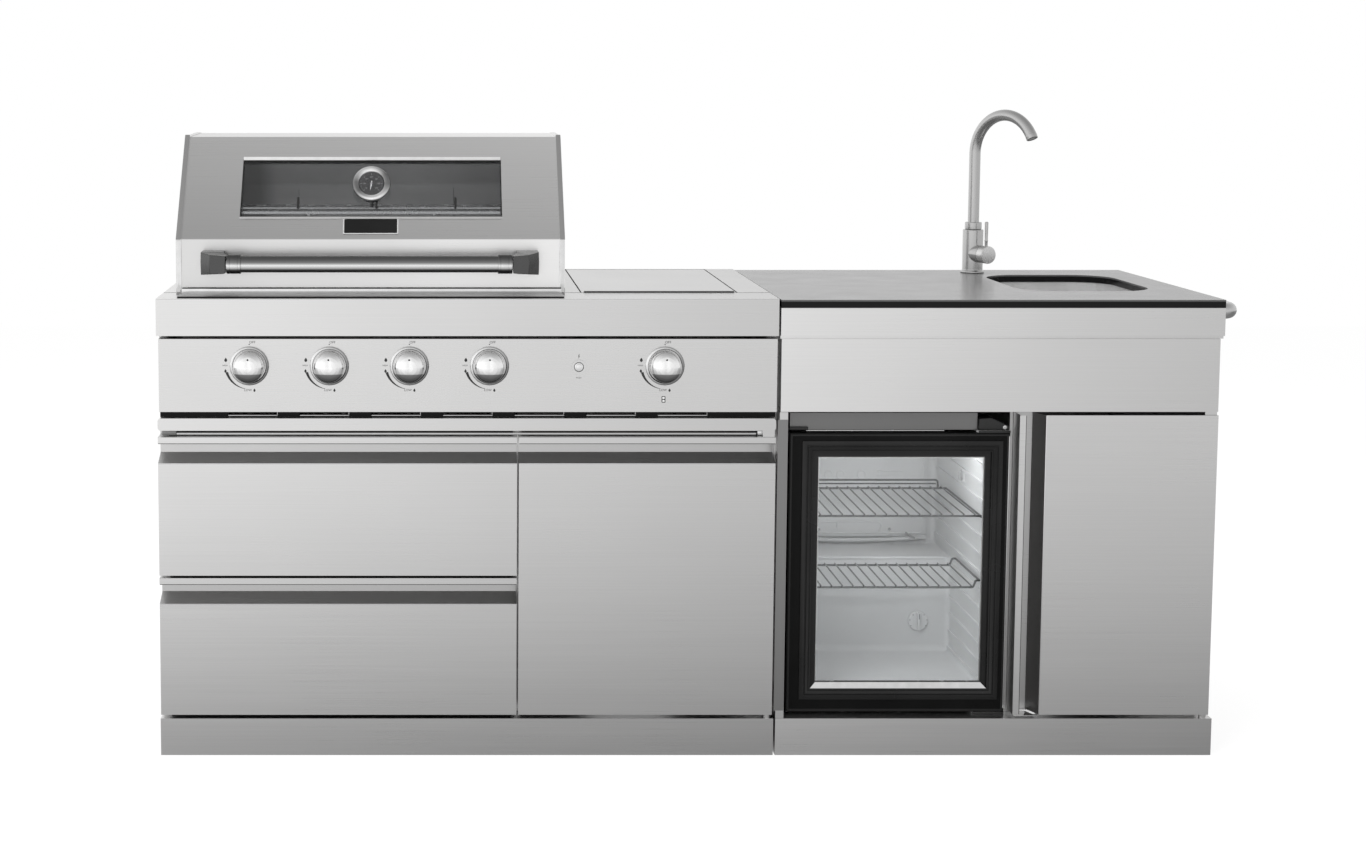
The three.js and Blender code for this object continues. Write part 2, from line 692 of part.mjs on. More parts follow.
// Wire rack on two side frames that stand on the firebox rim
function warmingRack() {
  const inset = hood.sheet + rack.sideGap;
  const x = [hood.left + inset, hoodRight - inset];
  const foot = cookLevel + grate.thick + rack.height;
  const level = [foot, foot + rack.wire];
  const front = hood.front + (level[1] - hoodLevel.bend) / Math.tan(slopeAngle) + rack.frontGap;
  const back = front + rack.depth;
  const longRods = Array.from({ length: rack.rods }, (_, i) => {
    const y = front + i * (rack.depth - rack.wire) / (rack.rods - 1);
    return block(x, [y, y + rack.wire], level);
  });
  const under = [level[0] - rack.wire + bury, level[0] + bury];
  const crossRods = Array.from({ length: rack.crossRods }, (_, i) => {
    const place = x[0] + i * (x[1] - x[0] - rack.wire) / (rack.crossRods - 1);
    return block([place, place + rack.wire], [front, back], under);
  });
  const ground = unit.height + seam + firebox.rim + seam;
  const legs = x.flatMap((edge, i) => [front, back - rack.wire].map((y) => (
    block(
      i ? [edge - rack.wire, edge] : [edge, edge + rack.wire],
      [y, y + rack.wire],
      [ground, level[0] + bury],
    )
  )));
  return join(...longRods, ...crossRods, ...legs);
}

// Hood: a folded shell between two cheeks, with a window, a gauge and a handle

const slopeRise = hoodLevel.slopeTop - hoodLevel.bend;
const slopeLength = Math.hypot(hood.slopeRun, slopeRise);
const slopeAngle = Math.atan2(slopeRise, hood.slopeRun);
const windowUp = slopeLength - glazing.fromTop - glazing.length / 2;
const windowPlace = [
  hoodMiddle,
  hood.front + windowUp * Math.cos(slopeAngle),
  hoodLevel.bend + windowUp * Math.sin(slopeAngle),
];

function hoodSection() {
  const slopeEnd = hood.front + hood.slopeRun;
  const topEnd = hoodRear - hood.rearLean - hood.rearSlopeRun;
  return [
    [hoodRear, hoodLevel.bottom], [topEnd + hood.rearSlopeRun, hoodLevel.shoulder],
    [topEnd, hoodLevel.slopeTop + hood.topRise], [slopeEnd, hoodLevel.slopeTop],
    [hood.front, hoodLevel.bend], [hood.front, hoodLevel.bottom],
  ];
}

// A cheek closes the side of the hood, stands a hem proud of it and carries the knuckle that it turns on
function cheekOutline() {
  const [rearFoot, shoulder, ...rest] = movedLeft(hoodSection(), -hood.hem);
  const front = rest.pop();
  const bottom = hoodLevel.bottom - hood.hem;
  const cheek = new THREE.Shape();
  cheek.moveTo(front[0], bottom);
  cheek.lineTo(hoodRear - hood.knuckle * 2, bottom);
  cheek.lineTo(hingeY - hood.knuckle, hoodLevel.hinge - hood.knuckle);
  cheek.absarc(hingeY, hoodLevel.hinge, hood.knuckle, -Math.PI / 2, Math.PI / 2);
  cheek.lineTo(
    rearFoot[0] + (shoulder[0] - rearFoot[0]) * hood.knuckleShare,
    rearFoot[1] + (shoulder[1] - rearFoot[1]) * hood.knuckleShare,
  );
  [shoulder, ...rest].forEach((corner) => cheek.lineTo(...corner));
  cheek.holes.push(disc(hood.pin + runGap, sides.rod, [hingeY, hoodLevel.hinge]));
  return cheek;
}

function hoodShell() {
  const core = alongX(outline(hoodSection()), [hood.left + bury, hoodRight - bury]);
  const cheekPlaces = [[hood.left, hood.left + hood.hemWidth], [hoodRight - hood.hemWidth, hoodRight]];
  const cheeks = cheekPlaces.map((x) => alongX(cheekOutline(), x));
  const hollow = movedLeft(hoodSection(), hood.sheet);
  const low = hoodLevel.bottom - overrun;
  const mouth = [[hollow[0][0], low], ...hollow, [hollow[hollow.length - 1][0], low]];
  const inside = alongX(outline(mouth), [hood.left + hood.sheet, hoodRight - hood.sheet]);
  const opening = block(
    [-glazing.width / 2, glazing.width / 2],
    [-glazing.length / 2, glazing.length / 2],
    [-overrun, overrun],
  );
  opening.rotateX(slopeAngle).translate(...windowPlace);
  return cut(join(core, ...cheeks), inside, opening);
}

function hoodGlass() {
  const halfWidth = glazing.width / 2 + glazing.lap;
  const halfLength = glazing.length / 2 + glazing.lap;
  const outer = -hood.sheet - seam;
  const pane = block([-halfWidth, halfWidth], [-halfLength, halfLength], [outer - glazing.thick, outer]);
  return cut(pane, rod([0, 0, outer - overrun * 2], [0, 0, outer + overrun], glazing.hole));
}

// The gauge leans forward on a wedge-shaped housing, so that its dial faces the cook
function hoodGauge() {
  const rimWidth = gauge.bezelRadius - gauge.dialRadius;
  const dialLevel = gauge.height - gauge.recess;
  const housing = turned([
    [0, -gauge.height], [gauge.bodyRadius, -gauge.height],
    [gauge.bodyRadius, gauge.height * gauge.skirtShare],
    [gauge.bezelRadius, gauge.height * gauge.skirtShare],
    [gauge.bezelRadius, gauge.height * gauge.landShare],
    [gauge.bezelRadius - rimWidth * gauge.bevelShare, gauge.height],
    [gauge.dialRadius, dialLevel], [0, dialLevel],
  ], sides.wide).rotateX(degrees(gauge.tiltDegrees));
  const reach = gauge.bezelRadius * 2;
  const below = block([-reach, reach], [-reach, reach], [-reach, -hood.sheet]);
  const nutTop = -hood.sheet - seam - glazing.thick - seam;
  return join(
    cut(housing, below),
    rod([0, 0, bury], [0, 0, -gauge.stemLength], gauge.stem),
    rod([0, 0, nutTop], [0, 0, nutTop - gauge.nutThick], gauge.nut, sides.nut),
  );
}

const handleY = hood.front - handle.ahead;

function handleBar() {
  const end = handle.halfLength;
  const collar = end - handle.collarWidth;
  return turned([
    [0, -end], [handle.collarRadius, -end], [handle.collarRadius, -collar], [handle.radius, -collar],
    [handle.radius, collar], [handle.collarRadius, collar], [handle.collarRadius, end], [0, end],
  ], sides.round).rotateY(Math.PI / 2);
}

// A post in plan: its foot lies on the hood, and its nose meets the end of the bar
function handlePost(side) {
  const nose = handle.halfLength + seam;
  const near = handle.postStart;
  const far = near + handle.postWidth;
  const foot = hood.front - seam;
  const corners = [
    [nose, handleY - handle.radius], [(near + far) / 2, handleY - handle.radius],
    [far, handleY + handle.radius],
    [far, foot], [near, foot], [near, handleY + handle.postHeel], [nose, handleY + handle.radius],
  ].map(([x, y]) => [hoodMiddle + side * x, y]);
  return alongZ(outline(corners), grown([handleLevel, handleLevel], handle.postHeight / 2));
}

function hoodPieces() {
  const bar = placed(piece('hood_handle_bar', handleBar(), chrome), [hoodMiddle, handleY, handleLevel]);
  const slope = placed(new THREE.Group(), windowPlace);
  slope.rotation.x = slopeAngle;
  slope.add(piece('hood_glass', hoodGlass(), smokedGlass), piece('hood_thermometer', hoodGauge(), chrome));
  return [
    piece('hood', hoodShell(), steel),
    bar,
    piece('hood_handle_post_left', handlePost(-1), chrome),
    piece('hood_handle_post_right', handlePost(1), chrome),
    slope,
  ];
}

// Gas controls

const valveFront = panelBack + seam;
const knobSeat = face.controlSet - knob.skirt - knob.socket;

function gasManifold() {
  const front = manifold.setBack;
  const back = front + manifold.size;
  const level = grown([knobLevel, knobLevel], manifold.size / 2);
  const ends = grown([knobPlaces[0], knobPlaces[knobPlaces.length - 1]], manifold.end);
  const bodies = knobPlaces.map((x) => cut(
    rod([x, valveFront, knobLevel], [x, front + bury, knobLevel], manifold.valveRadius),
    rod(
      [x, valveFront - overrun, knobLevel],
      [x, valveFront + spindle.inside + spindle.push * 2, knobLevel],
      knob.bore,
    ),
  ));
  const nozzles = grillKnobs.map((x) => (
    rod(
      [x, back - bury, knobLevel],
      [x, back + manifold.nozzleReach, knobLevel],
      manifold.nozzleRadius,
      sides.slim,
    )
  ));
  const feedX = knobPlaces[knobPlaces.length - 1];
  const riserTop = panBottom - seam;
  const feed = [
    rod(
      [feedX, back - bury, knobLevel],
      [feedX, burnerY + manifold.nozzleRadius, knobLevel],
      manifold.nozzleRadius,
      sides.slim,
    ),
    rod([feedX, burnerY, knobLevel], [feedX, burnerY, riserTop], manifold.nozzleRadius, sides.slim),
  ];
  return join(block(ends, [front, back], level), ...bodies, ...nozzles, ...feed);
}

// The crown of a knob: radius and height as shares of its widest radius and of its full height
const crownShares = [[1, 0.58], [0.96, 0.76], [0.82, 0.9], [0.55, 0.98]];

// Knob and spindle are turned about z here and laid forward where they are placed
const knobProfile = [
  [0, knob.skirt + knob.socket], [knob.bore, knob.skirt + knob.socket], [knob.bore, knob.skirt],
  [knob.baseRadius, knob.skirt], [knob.radius, knob.skirt * 2],
  ...crownShares.map(([across, up]) => [knob.radius * across, knob.proud * up]), [0, knob.proud],
];

function controls() {
  const items = [piece('gas_manifold', gasManifold(), innerSteel)];
  const knobGeometry = turned(knobProfile, sides.round);
  const tip = knobSeat - face.controlSet + seam;
  const spindleGeometry = rod([0, 0, -tip], [0, 0, -panelBack - spindle.inside], spindle.radius);
  knobPlaces.forEach((x, i) => {
    const station = placed(new THREE.Group(), [x, face.controlSet, knobLevel]);
    station.rotation.x = Math.PI / 2;
    station.add(
      piece(`valve_spindle_${i + 1}`, spindleGeometry, innerSteel),
      piece(`burner_knob_${i + 1}`, knobGeometry, chrome),
    );
    items.push(station);
  });
  const button = turned([
    [0, -igniter.back], [igniter.radius, -igniter.back], [igniter.radius, igniter.proud * igniter.rimShare],
    [igniter.radius * igniter.crownShare, igniter.proud], [0, igniter.proud],
  ], sides.round).rotateX(Math.PI / 2);
  const igniterPlace = [hoodMiddle + igniter.fromHood, face.controlSet, igniterLevel];
  items.push(placed(piece('igniter_button', button, chrome), igniterPlace));
  return items;
}

// Side burner: a stepped bowl hung under the worktop, its trivet and its hinged cover

const coverLevel = [unit.height - cover.thick, unit.height];
const coverHinge = { y: coverOpening.y[1] - cover.barrel - bury * 2, z: coverLevel[0] + cover.barrel };
const coverBack = coverHinge.y;
const burnerX = cover.left + cover.width / 2;
const wellFront = coverOpening.y[0] + bowl.front;
const wellBack = coverOpening.y[1] - bowl.behind;
const burnerY = (wellFront + wellBack) / 2;
const ledgeTop = coverLevel[0] - seam;
const panBottom = ledgeTop - sheet - bowl.drop;
const well = { x: grown(coverOpening.x, -bowl.ledge), y: [wellFront, wellBack] };

function sideBurnerBowl() {
  const rimTop = unit.height - sheet - seam;
  const outer = { x: grown(coverOpening.x, sheet), y: grown(coverOpening.y, sheet) };
  const upper = cut(
    block(outer.x, outer.y, [ledgeTop - sheet, rimTop]),
    block(coverOpening.x, coverOpening.y, [ledgeTop, rimTop + overrun]),
    block(well.x, well.y, [ledgeTop - overrun, ledgeTop + overrun]),
  );
  const lower = cut(
    block(grown(well.x, sheet), grown(well.y, sheet), [panBottom, ledgeTop]),
    block(well.x, well.y, [panBottom + sheet, ledgeTop + overrun]),
  );
  const head = turned([
    [0, -bury], [bowl.stem, -bury], [bowl.stem, bowl.capHeight * bowl.skirtShare],
    [bowl.burnerRadius, bowl.capHeight * bowl.rimShare],
    [bowl.burnerRadius, bowl.capHeight * bowl.landShare], [bowl.capRadius, bowl.capHeight * bowl.capShare],
    [bowl.capRadius, bowl.capHeight], [0, bowl.capHeight],
  ], sides.wide).translate(burnerX, burnerY, panBottom + sheet);
  const pins = [
    rod(
      [outer.x[0], coverHinge.y, coverHinge.z],
      [cover.left + cover.pinReach, coverHinge.y, coverHinge.z],
      cover.pin,
    ),
    rod(
      [cover.left + cover.width - cover.pinReach, coverHinge.y, coverHinge.z],
      [outer.x[1], coverHinge.y, coverHinge.z],
      cover.pin,
    ),
  ];
  return join(upper, lower, head, ...pins);
}

function sideBurnerCover() {
  const x = [cover.left, cover.left + cover.width];
  const shell = cut(
    block(x, [cover.front, coverBack], coverLevel),
    block(
      grown(x, -sheet),
      [cover.front + sheet, coverBack - cover.barrel - sheet],
      [coverLevel[0] - overrun, unit.height - sheet],
    ),
  );
  const hingeRod = (from, to, radius, count) => (
    rod([from, coverHinge.y, coverHinge.z], [to, coverHinge.y, coverHinge.z], radius, count)
  );
  const barrel = hingeRod(x[0], x[1], cover.barrel, sides.bar);
  const clearance = hingeRod(x[0], x[1], cover.barrel - bury, sides.bar);
  const depth = cover.pinReach + overrun;
  const bores = [
    hingeRod(x[0] - overrun, x[0] + depth, cover.pin + seam),
    hingeRod(x[1] - depth, x[1] + overrun, cover.pin + seam),
  ];
  return cut(join(cut(shell, clearance), barrel), ...bores);
}

function trivetBody() {
  const half = trivet.size / 2;
  const frame = outline([[-half, -half], [half, -half], [half, half], [-half, half]]);
  const inner = half - trivet.bar;
  frame.holes.push(outline([[-inner, -inner], [inner, -inner], [inner, inner], [-inner, inner]]));
  const top = coverLevel[0] - trivet.below;
  const level = [top - trivet.thick, top];
  const nib = trivet.bar / 2;
  const tip = half - trivet.bar - trivet.finger;
  const fingers = [0, 1, 2, 3].map((turn) => (
    block([tip, half - bury], [-nib, nib], level).rotateZ(turn * Math.PI / 2)
  ));
  const foot = panBottom + sheet + seam;
  const legPlace = half - trivet.bar / 2;
  const legs = [[-1, -1], [1, -1], [1, 1], [-1, 1]].map(([sx, sy]) => (
    rod(
      [sx * legPlace, sy * legPlace, foot],
      [sx * legPlace, sy * legPlace, level[0] + bury],
      trivet.legRadius,
      sides.slim,
    )
  ));
  return join(alongZ(frame, level), ...fingers, ...legs).translate(burnerX, burnerY, 0);
}

// Fronts of the barbecue module

function drawerBox(top) {
  const [low, high] = drawerBoxLevels(top);
  const x = [panel + drawer.runnerDepth + runGap, dividerLeft - drawer.runnerDepth - runGap];
  const y = [pull.panelThick + seam, pull.panelThick + seam + drawer.boxDepth];
  const tray = cut(
    block(x, y, [low, high]),
    block(grown(x, -sheet), grown(y, -sheet), [low + sheet, high + overrun]),
  );
  const middle = (low + high) / 2;
  const railLevel = grown([middle, middle], drawer.runnerHeight / 2 - sheet - runGap);
  const railPlaces = [[panel + sheet + runGap, x[0] + bury], [x[1] - bury, dividerLeft - sheet - runGap]];
  const rails = railPlaces.map((span) => block(span, [drawer.runnerStart, y[1]], railLevel));
  return join(tray, ...rails);
}

function bbqFronts() {
  const span = [face.reveal, face.reveal + drawer.frontWidth];
  const pinX = gasDoorRight - pivot.inset;
  const door = cut(
    levelFront([gasDoorLeft, gasDoorRight], frontsTop, frontsTop - frontsBottom),
    pivotBore(pinX, [frontsBottom - overrun, frontsBottom + pivot.pinReach * 2]),
    pivotBore(pinX, [frontsTop - pivot.pinReach * 2, frontsTop + overrun]),
  );
  return [
    piece('drawer_upper_front', levelFront(span, drawerTops.upper, drawerHeight), steel),
    piece('drawer_upper_box', drawerBox(drawerTops.upper), innerSteel),
    piece('drawer_lower_front', levelFront(span, drawerTops.lower, drawerHeight), steel),
    piece('drawer_lower_box', drawerBox(drawerTops.lower), innerSteel),
    piece('gas_door', door, steel),
  ];
}

// Sink and fridge module

const benchBottom = benchTop - bench.thick;
const supportTop = benchBottom - seam;
const cupboardRight = unit.sinkWidth - bench.apronInset;
const cupboardTop = controlBottom - face.doorTopGap;
const fridgeRight = fridge.left + fridge.width;
const sinkDividerLeft = fridgeRight + fridgeDoor.sideGap;
const cupboardLeft = sinkDividerLeft + panel - fridgeDoor.lap;

function sinkCarcass() {
  const width = unit.sinkWidth;
  const behindApron = carcassFront;
  const stepTo = controlBottom - seam;
  const leftSection = [
    [0, carcassBottom], [unit.depth, carcassBottom], [unit.depth, supportTop],
    [behindApron, supportTop], [behindApron, stepTo], [0, stepTo],
  ];
  const joiner = block(
    [seam - unit.moduleGap, bury],
    [carcassFront, carcassFront + panel * 2],
    [carcassBottom + service.above, carcassTop],
  );
  const cupboardPinX = cupboardRight - pivot.inset;
  return [
    piece('sink_base', base(width, cupboardPinX), steel),
    piece('sink_side_left', join(alongX(outline(leftSection), [0, panel]), joiner), steel),
    piece(
      'sink_side_right',
      block([width - panel, width], [carcassFront, unit.depth], [carcassBottom, supportTop]),
      steel,
    ),
    piece('sink_divider', block(
      [sinkDividerLeft, sinkDividerLeft + panel],
      [carcassFront, unit.depth - panel - seam],
      [carcassBottom, supportTop],
    ), innerSteel),
    piece('sink_back', backPanel(width, supportTop), innerSteel),
    piece('sink_apron', sinkApron(cupboardPinX), steel),
    piece('benchtop', benchtop(), stone),
  ];
}

// One folded front under the stone: a fascia, a shadow gap and an apron set a little back
function sinkApron(pinX) {
  const back = carcassFront - seam;
  const fascia = foldedSheet([
    [back, supportTop], [0, supportTop], [0, bandBottom], [bench.shadowSet, bandBottom],
    [bench.shadowSet, controlTop],
  ], sheet);
  const apron = foldedSheet([
    [bench.shadowSet, bandBottom], [bench.shadowSet, controlTop], [bench.apronSet, controlTop],
    [bench.apronSet, controlBottom], [back, controlBottom],
  ], sheet);
  const bracket = block(
    [pinX - panel, pinX + pivot.boss],
    [bench.apronSet, rail.depth],
    [cupboardTop + seam, controlBottom + bury],
  );
  const pin = rod(
    [pinX, pivot.inset, controlBottom],
    [pinX, pivot.inset, cupboardTop - pivot.pinReach],
    pivot.pin,
  );
  return join(
    alongX(fascia, [0, unit.sinkWidth]),
    alongX(apron, [sheet, cupboardRight]),
    bracket,
    pin,
  );
}

const sinkCut = {
  x: [sink.left, sink.left + sink.width],
  y: [sink.front, unit.depth - sink.behind],
};

function benchtop() {
  const slab = outline([[0, 0], [unit.sinkWidth, 0], [unit.sinkWidth, unit.depth], [0, unit.depth]]);
  slab.holes.push(new THREE.Path(roundedRectangle(sinkCut.x, sinkCut.y, sink.corner).getPoints(sides.nut)));
  slab.holes.push(disc(tap.hole, sides.bar, [tap.left, unit.depth - tap.behind]));
  return alongZ(slab, [benchBottom, benchTop]);
}

function sinkBowl() {
  const level = (by, from, to, radius) => (
    alongZ(roundedRectangle(grown(sinkCut.x, by), grown(sinkCut.y, by), sink.corner + radius), [from, to])
  );
  const floor = supportTop - sink.depth;
  const wallOuter = sink.reveal + sink.wall;
  const rim = wallOuter + sink.flange;
  const drain = rod(
    [(sinkCut.x[0] + sinkCut.x[1]) / 2, (sinkCut.y[0] + sinkCut.y[1]) / 2, floor - overrun],
    [(sinkCut.x[0] + sinkCut.x[1]) / 2, (sinkCut.y[0] + sinkCut.y[1]) / 2, floor + overrun],
    sink.drain,
    sides.round,
  );
  return cut(
    join(
      level(wallOuter, floor, supportTop, wallOuter),
      level(rim, supportTop - sink.wall, supportTop, rim),
    ),
    level(sink.reveal, floor + sink.wall, supportTop + overrun, sink.reveal),
    drain,
  );
}

function sinkWaste() {
  const below = -sink.wall - seam * 2;
  const strainer = turned([
    [0, -waste.tailLength], [waste.tail, -waste.tailLength], [waste.tail, below - waste.nutThick],
    [waste.nut, below - waste.nutThick], [waste.nut, below], [waste.neck, below], [waste.neck, 0],
    [waste.flange, 0], [waste.flange, waste.flangeThick], [waste.neck, waste.flangeThick],
    [waste.neck * waste.dishShare, -waste.flangeThick], [0, -waste.flangeThick],
  ], sides.round);
  const floor = supportTop - sink.depth + sink.wall + seam;
  return placed(
    piece('sink_waste', strainer, chrome),
    [(sinkCut.x[0] + sinkCut.x[1]) / 2, (sinkCut.y[0] + sinkCut.y[1]) / 2, floor],
  );
}

// Mixer tap: its own axis stands at the hole in the stone, and z is measured from the benchtop

function tapPieces() {
  const top = tap.height;
  const under = -bench.thick - seam;
  const column = turned([
    [0, under - tap.shankLength], [tap.shank, under - tap.shankLength], [tap.shank, under - tap.nutThick],
    [tap.nut, under - tap.nutThick], [tap.nut, under], [tap.shank, under], [tap.shank, seam],
    [tap.base, seam], [tap.base, tap.baseHeight * tap.baseShare], [tap.body, tap.baseHeight],
    [tap.body, top], [tap.spigot, top], [tap.spigot, top + tap.spigotHeight], [0, top + tap.spigotHeight],
  ], sides.round);
  const valveLevel = tap.valveHeight;
  const sleeve = rod([0, 0, 0], [tap.valveReach, 0, 0], tap.valve, sides.round)
    .rotateZ(-degrees(tap.valveTurn))
    .translate(0, 0, valveLevel);
  const valve = placed(new THREE.Group(), [0, 0, valveLevel]);
  valve.rotation.z = -degrees(tap.valveTurn);
  valve.add(piece('tap_cartridge', tapCartridge(), chrome), tapLever());
  const head = placed(new THREE.Group(), [0, 0, top + seam]);
  head.rotation.z = -degrees(spout.turnDegrees);
  head.add(piece('tap_spout', tapSpout(), chrome));
  const stand = placed(new THREE.Group(), [tap.left, unit.depth - tap.behind, benchTop]);
  stand.add(piece('tap_body', join(column, sleeve), chrome), valve, head);
  return stand;
}

// The cartridge turns about the valve's axis, and the lever tilts in its socket
const leverX = tap.valveReach + seam + tap.cartridge / 2;

function tapCartridge() {
  const near = tap.valveReach + seam;
  const drum = rod([near, 0, 0], [near + tap.cartridge, 0, 0], tap.valve, sides.round);
  const socketFloor = lever.seat - lever.ball - seam;
  return cut(
    drum,
    rod([leverX, 0, socketFloor], [leverX, 0, tap.valve + overrun], lever.socket, sides.bar),
  );
}

function tapLever() {
  const ball = new THREE.SphereGeometry(lever.ball, sides.slim, sides.nut).translate(leverX, 0, lever.seat);
  const leverTop = lever.seat + lever.length;
  const pin = rod([leverX, 0, lever.seat], [leverX, 0, leverTop], lever.radius, sides.slim);
  return piece('tap_lever', join(ball, pin), chrome);
}

function tapSpout() {
  const archMiddle = spout.rise - spout.archRadius - spout.tube;
  const stations = [new THREE.Vector3(0, 0, 0), new THREE.Vector3(0, 0, archMiddle)];
  for (let i = 1; i <= spout.archSteps; i += 1) {
    const angle = degrees(spout.archDegrees * i / spout.archSteps);
    stations.push(new THREE.Vector3(
      spout.archRadius * (1 - Math.cos(angle)),
      0,
      archMiddle + spout.archRadius * Math.sin(angle),
    ));
  }
  const end = stations[stations.length - 1];
  const out = end.clone().sub(stations[stations.length - 2]).normalize();
  const inside = end.clone().addScaledVector(out, -spout.outletDepth);
  const beyond = end.clone().addScaledVector(out, overrun);
  return cut(
    join(
      tube(stations, spout.tube, sides.rod),
      rod([0, 0, 0], [0, 0, spout.collarHeight], spout.collar, sides.round),
    ),
    rod(inside.toArray(), beyond.toArray(), spout.outlet),
    rod([0, 0, -overrun], [0, 0, tap.spigotHeight + bury], spout.bore),
  );
}

// Fridge: a cabinet with ribbed liner walls, a glazed door and two wire shelves

const doorBack = fridge.front + fridge.doorDepth;
const cabinetFront = doorBack + fridgeDoor.cabinetGap;
const fridgeBottom = carcassBottom;
const fridgeDoorBottom = fridgeBottom + fridge.foot;
const fridgeHinge = { x: fridgeRight - fridgeDoor.hingeInset, y: fridge.front + fridgeDoor.hingeInset };
const fridgeHingeRod = ([from, to], radius) => (
  rod([fridgeHinge.x, fridgeHinge.y, from], [fridgeHinge.x, fridgeHinge.y, to], radius)
);
const fridgeBack = unit.depth - fridge.behind;
const fridgeTop = cupboardTop - fridge.headroom;
const cavityTop = fridgeTop - fridge.topWall;
const ribPitch = (cavityTop - fridge.ribTopGap - fridge.ribBase) / (fridge.ribs - 1);
const cavity = [fridge.left + fridge.wall, fridgeRight - fridge.wall];
const cavityBack = fridgeBack - fridge.backWall;
const humpFront = cavityBack - fridge.humpDepth;

function fridgeCabinet() {
  const body = cut(
    block([fridge.left, fridgeRight], [cabinetFront, fridgeBack], [fridgeBottom, fridgeTop]),
    block(cavity, [cabinetFront - overrun, cavityBack], [fridge.cavityFloor, cavityTop]),
  );
  const hump = block(cavity, [humpFront, cavityBack + bury], [fridge.cavityFloor - bury, fridge.humpTop]);
  const ribTops = Array.from({ length: fridge.ribs }, (_, i) => fridge.ribBase + i * ribPitch);
  const ribs = ribTops.flatMap((top) => {
    const y = [shelf.front - shelf.wire, cavityBack];
    const z = [top - fridge.ribHeight, top];
    return [
      block([cavity[0] - bury, cavity[0] + fridge.ribDepth], y, z),
      block([cavity[1] - fridge.ribDepth, cavity[1] + bury], y, z),
    ];
  });
  const hingeX = [fridgeHinge.x - fridgeDoor.bracketWidth, fridgeRight];
  const plate = [fridge.front, cabinetFront + fridgeDoor.bracketBack];
  const topPlate = block(hingeX, plate, [fridgeTop + seam, fridgeTop + seam + fridgeDoor.bracketThick]);
  const tieLevel = [fridgeTop - bury, fridgeTop + fridgeDoor.bracketThick];
  const topTie = block(hingeX, [cabinetFront, plate[1]], tieLevel);
  const lowPlate = block(hingeX, plate, [fridgeBottom, fridgeDoorBottom - seam]);
  const pins = [
    fridgeHingeRod([fridgeTop + bury, fridgeTop - pivot.pinReach], pivot.pin / 2),
    fridgeHingeRod([fridgeBottom + bury, fridgeDoorBottom + pivot.pinReach], pivot.pin / 2),
  ];
  const stemBore = rod(
    [dial.x, humpFront - overrun, dial.height],
    [dial.x, humpFront + dial.stemLength + seam, dial.height],
    dial.stem + seam,
  );
  return cut(join(body, hump, ...ribs, topPlate, topTie, lowPlate, ...pins), stemBore);
}

const aperture = {
  x: [fridge.left + fridgeDoor.apertureLeft, fridgeRight - fridgeDoor.apertureRight],
  z: [fridgeDoorBottom + fridgeDoor.apertureBottom, fridgeTop - fridgeDoor.apertureTop],
};
const pocketFront = fridge.front + fridgeDoor.pocketDepth;

function fridgeDoorFrame() {
  const leaf = block([fridge.left, fridgeRight], [fridge.front, doorBack], [fridgeDoorBottom, fridgeTop]);
  const opening = block(aperture.x, [fridge.front - overrun, doorBack + overrun], aperture.z);
  const chamfer = block(
    grown(aperture.x, fridgeDoor.stepWidth),
    [fridge.front - overrun, fridge.front + fridgeDoor.step],
    grown(aperture.z, fridgeDoor.stepWidth),
  );
  const pocket = block(
    grown(aperture.x, fridgeDoor.pocket),
    [pocketFront, doorBack + overrun],
    grown(aperture.z, fridgeDoor.pocket),
  );
  const bore = (z) => fridgeHingeRod(z, pivot.pin / 2 + seam);
  return cut(
    leaf,
    opening,
    chamfer,
    pocket,
    bore([fridgeDoorBottom - overrun, fridgeDoorBottom + pivot.pinReach * 2]),
    bore([fridgeTop - pivot.pinReach * 2, fridgeTop + overrun]),
  );
}

function fridgeGlass() {
  const lap = fridgeDoor.pocket - seam;
  return block(
    grown(aperture.x, lap),
    [pocketFront + seam, pocketFront + seam + fridgeDoor.glassThick],
    grown(aperture.z, lap),
  );
}

// Wires between a front and a back rod, with a raised bar along the back
function wireShelf(ribIndex, back) {
  const seat = fridge.ribBase + ribIndex * ribPitch + seam;
  const x = grown(cavity, -shelf.sideGap);
  const wire = shelf.wire;
  const level = [seat, seat + wire];
  const count = Math.round((x[1] - x[0] - wire) / shelf.pitch);
  const pitch = (x[1] - x[0] - wire) / count;
  const wires = Array.from({ length: count + 1 }, (_, i) => (
    block([x[0] + i * pitch, x[0] + i * pitch + wire], [shelf.front + bury, back - bury], level)
  ));
  const rods = [shelf.front, back - wire].map((y) => block(x, [y, y + wire], level));
  const upstand = cut(
    block(x, [back - wire, back], [seat, level[1] + shelf.upstand]),
    block(
      grown(x, -wire),
      [back - wire - overrun, back + overrun],
      [level[1], level[1] + shelf.upstand - wire],
    ),
  );
  return join(...wires, ...rods, upstand);
}

function fridgeDial() {
  const turnedDial = turned([
    [0, -dial.stemLength], [dial.stem, -dial.stemLength], [dial.stem, seam], [dial.radius, seam],
    [dial.radius, dial.thick * dial.rimShare], [dial.radius * dial.crownShare, dial.thick * dial.faceShare],
    [0, dial.thick * dial.faceShare],
  ], sides.wide);
  const grip = block(
    [-dial.grip, dial.grip],
    [-dial.radius * dial.gripShare, dial.radius * dial.gripShare],
    [dial.thick * dial.rimShare, dial.thick],
  );
  return join(turnedDial, grip).rotateX(Math.PI / 2).translate(dial.x, humpFront, dial.height);
}

function cupboardDoor() {
  const flat = frontSection(cupboardRight - cupboardLeft);
  const section = flat.map(([depth, along]) => [cupboardLeft + along, depth]);
  const pinX = cupboardRight - pivot.inset;
  return cut(
    alongZ(outline(section), [frontsBottom, cupboardTop]),
    pivotBore(pinX, [frontsBottom - overrun, frontsBottom + pivot.pinReach * 2]),
    pivotBore(pinX, [cupboardTop - pivot.pinReach * 2, cupboardTop + overrun]),
  );
}

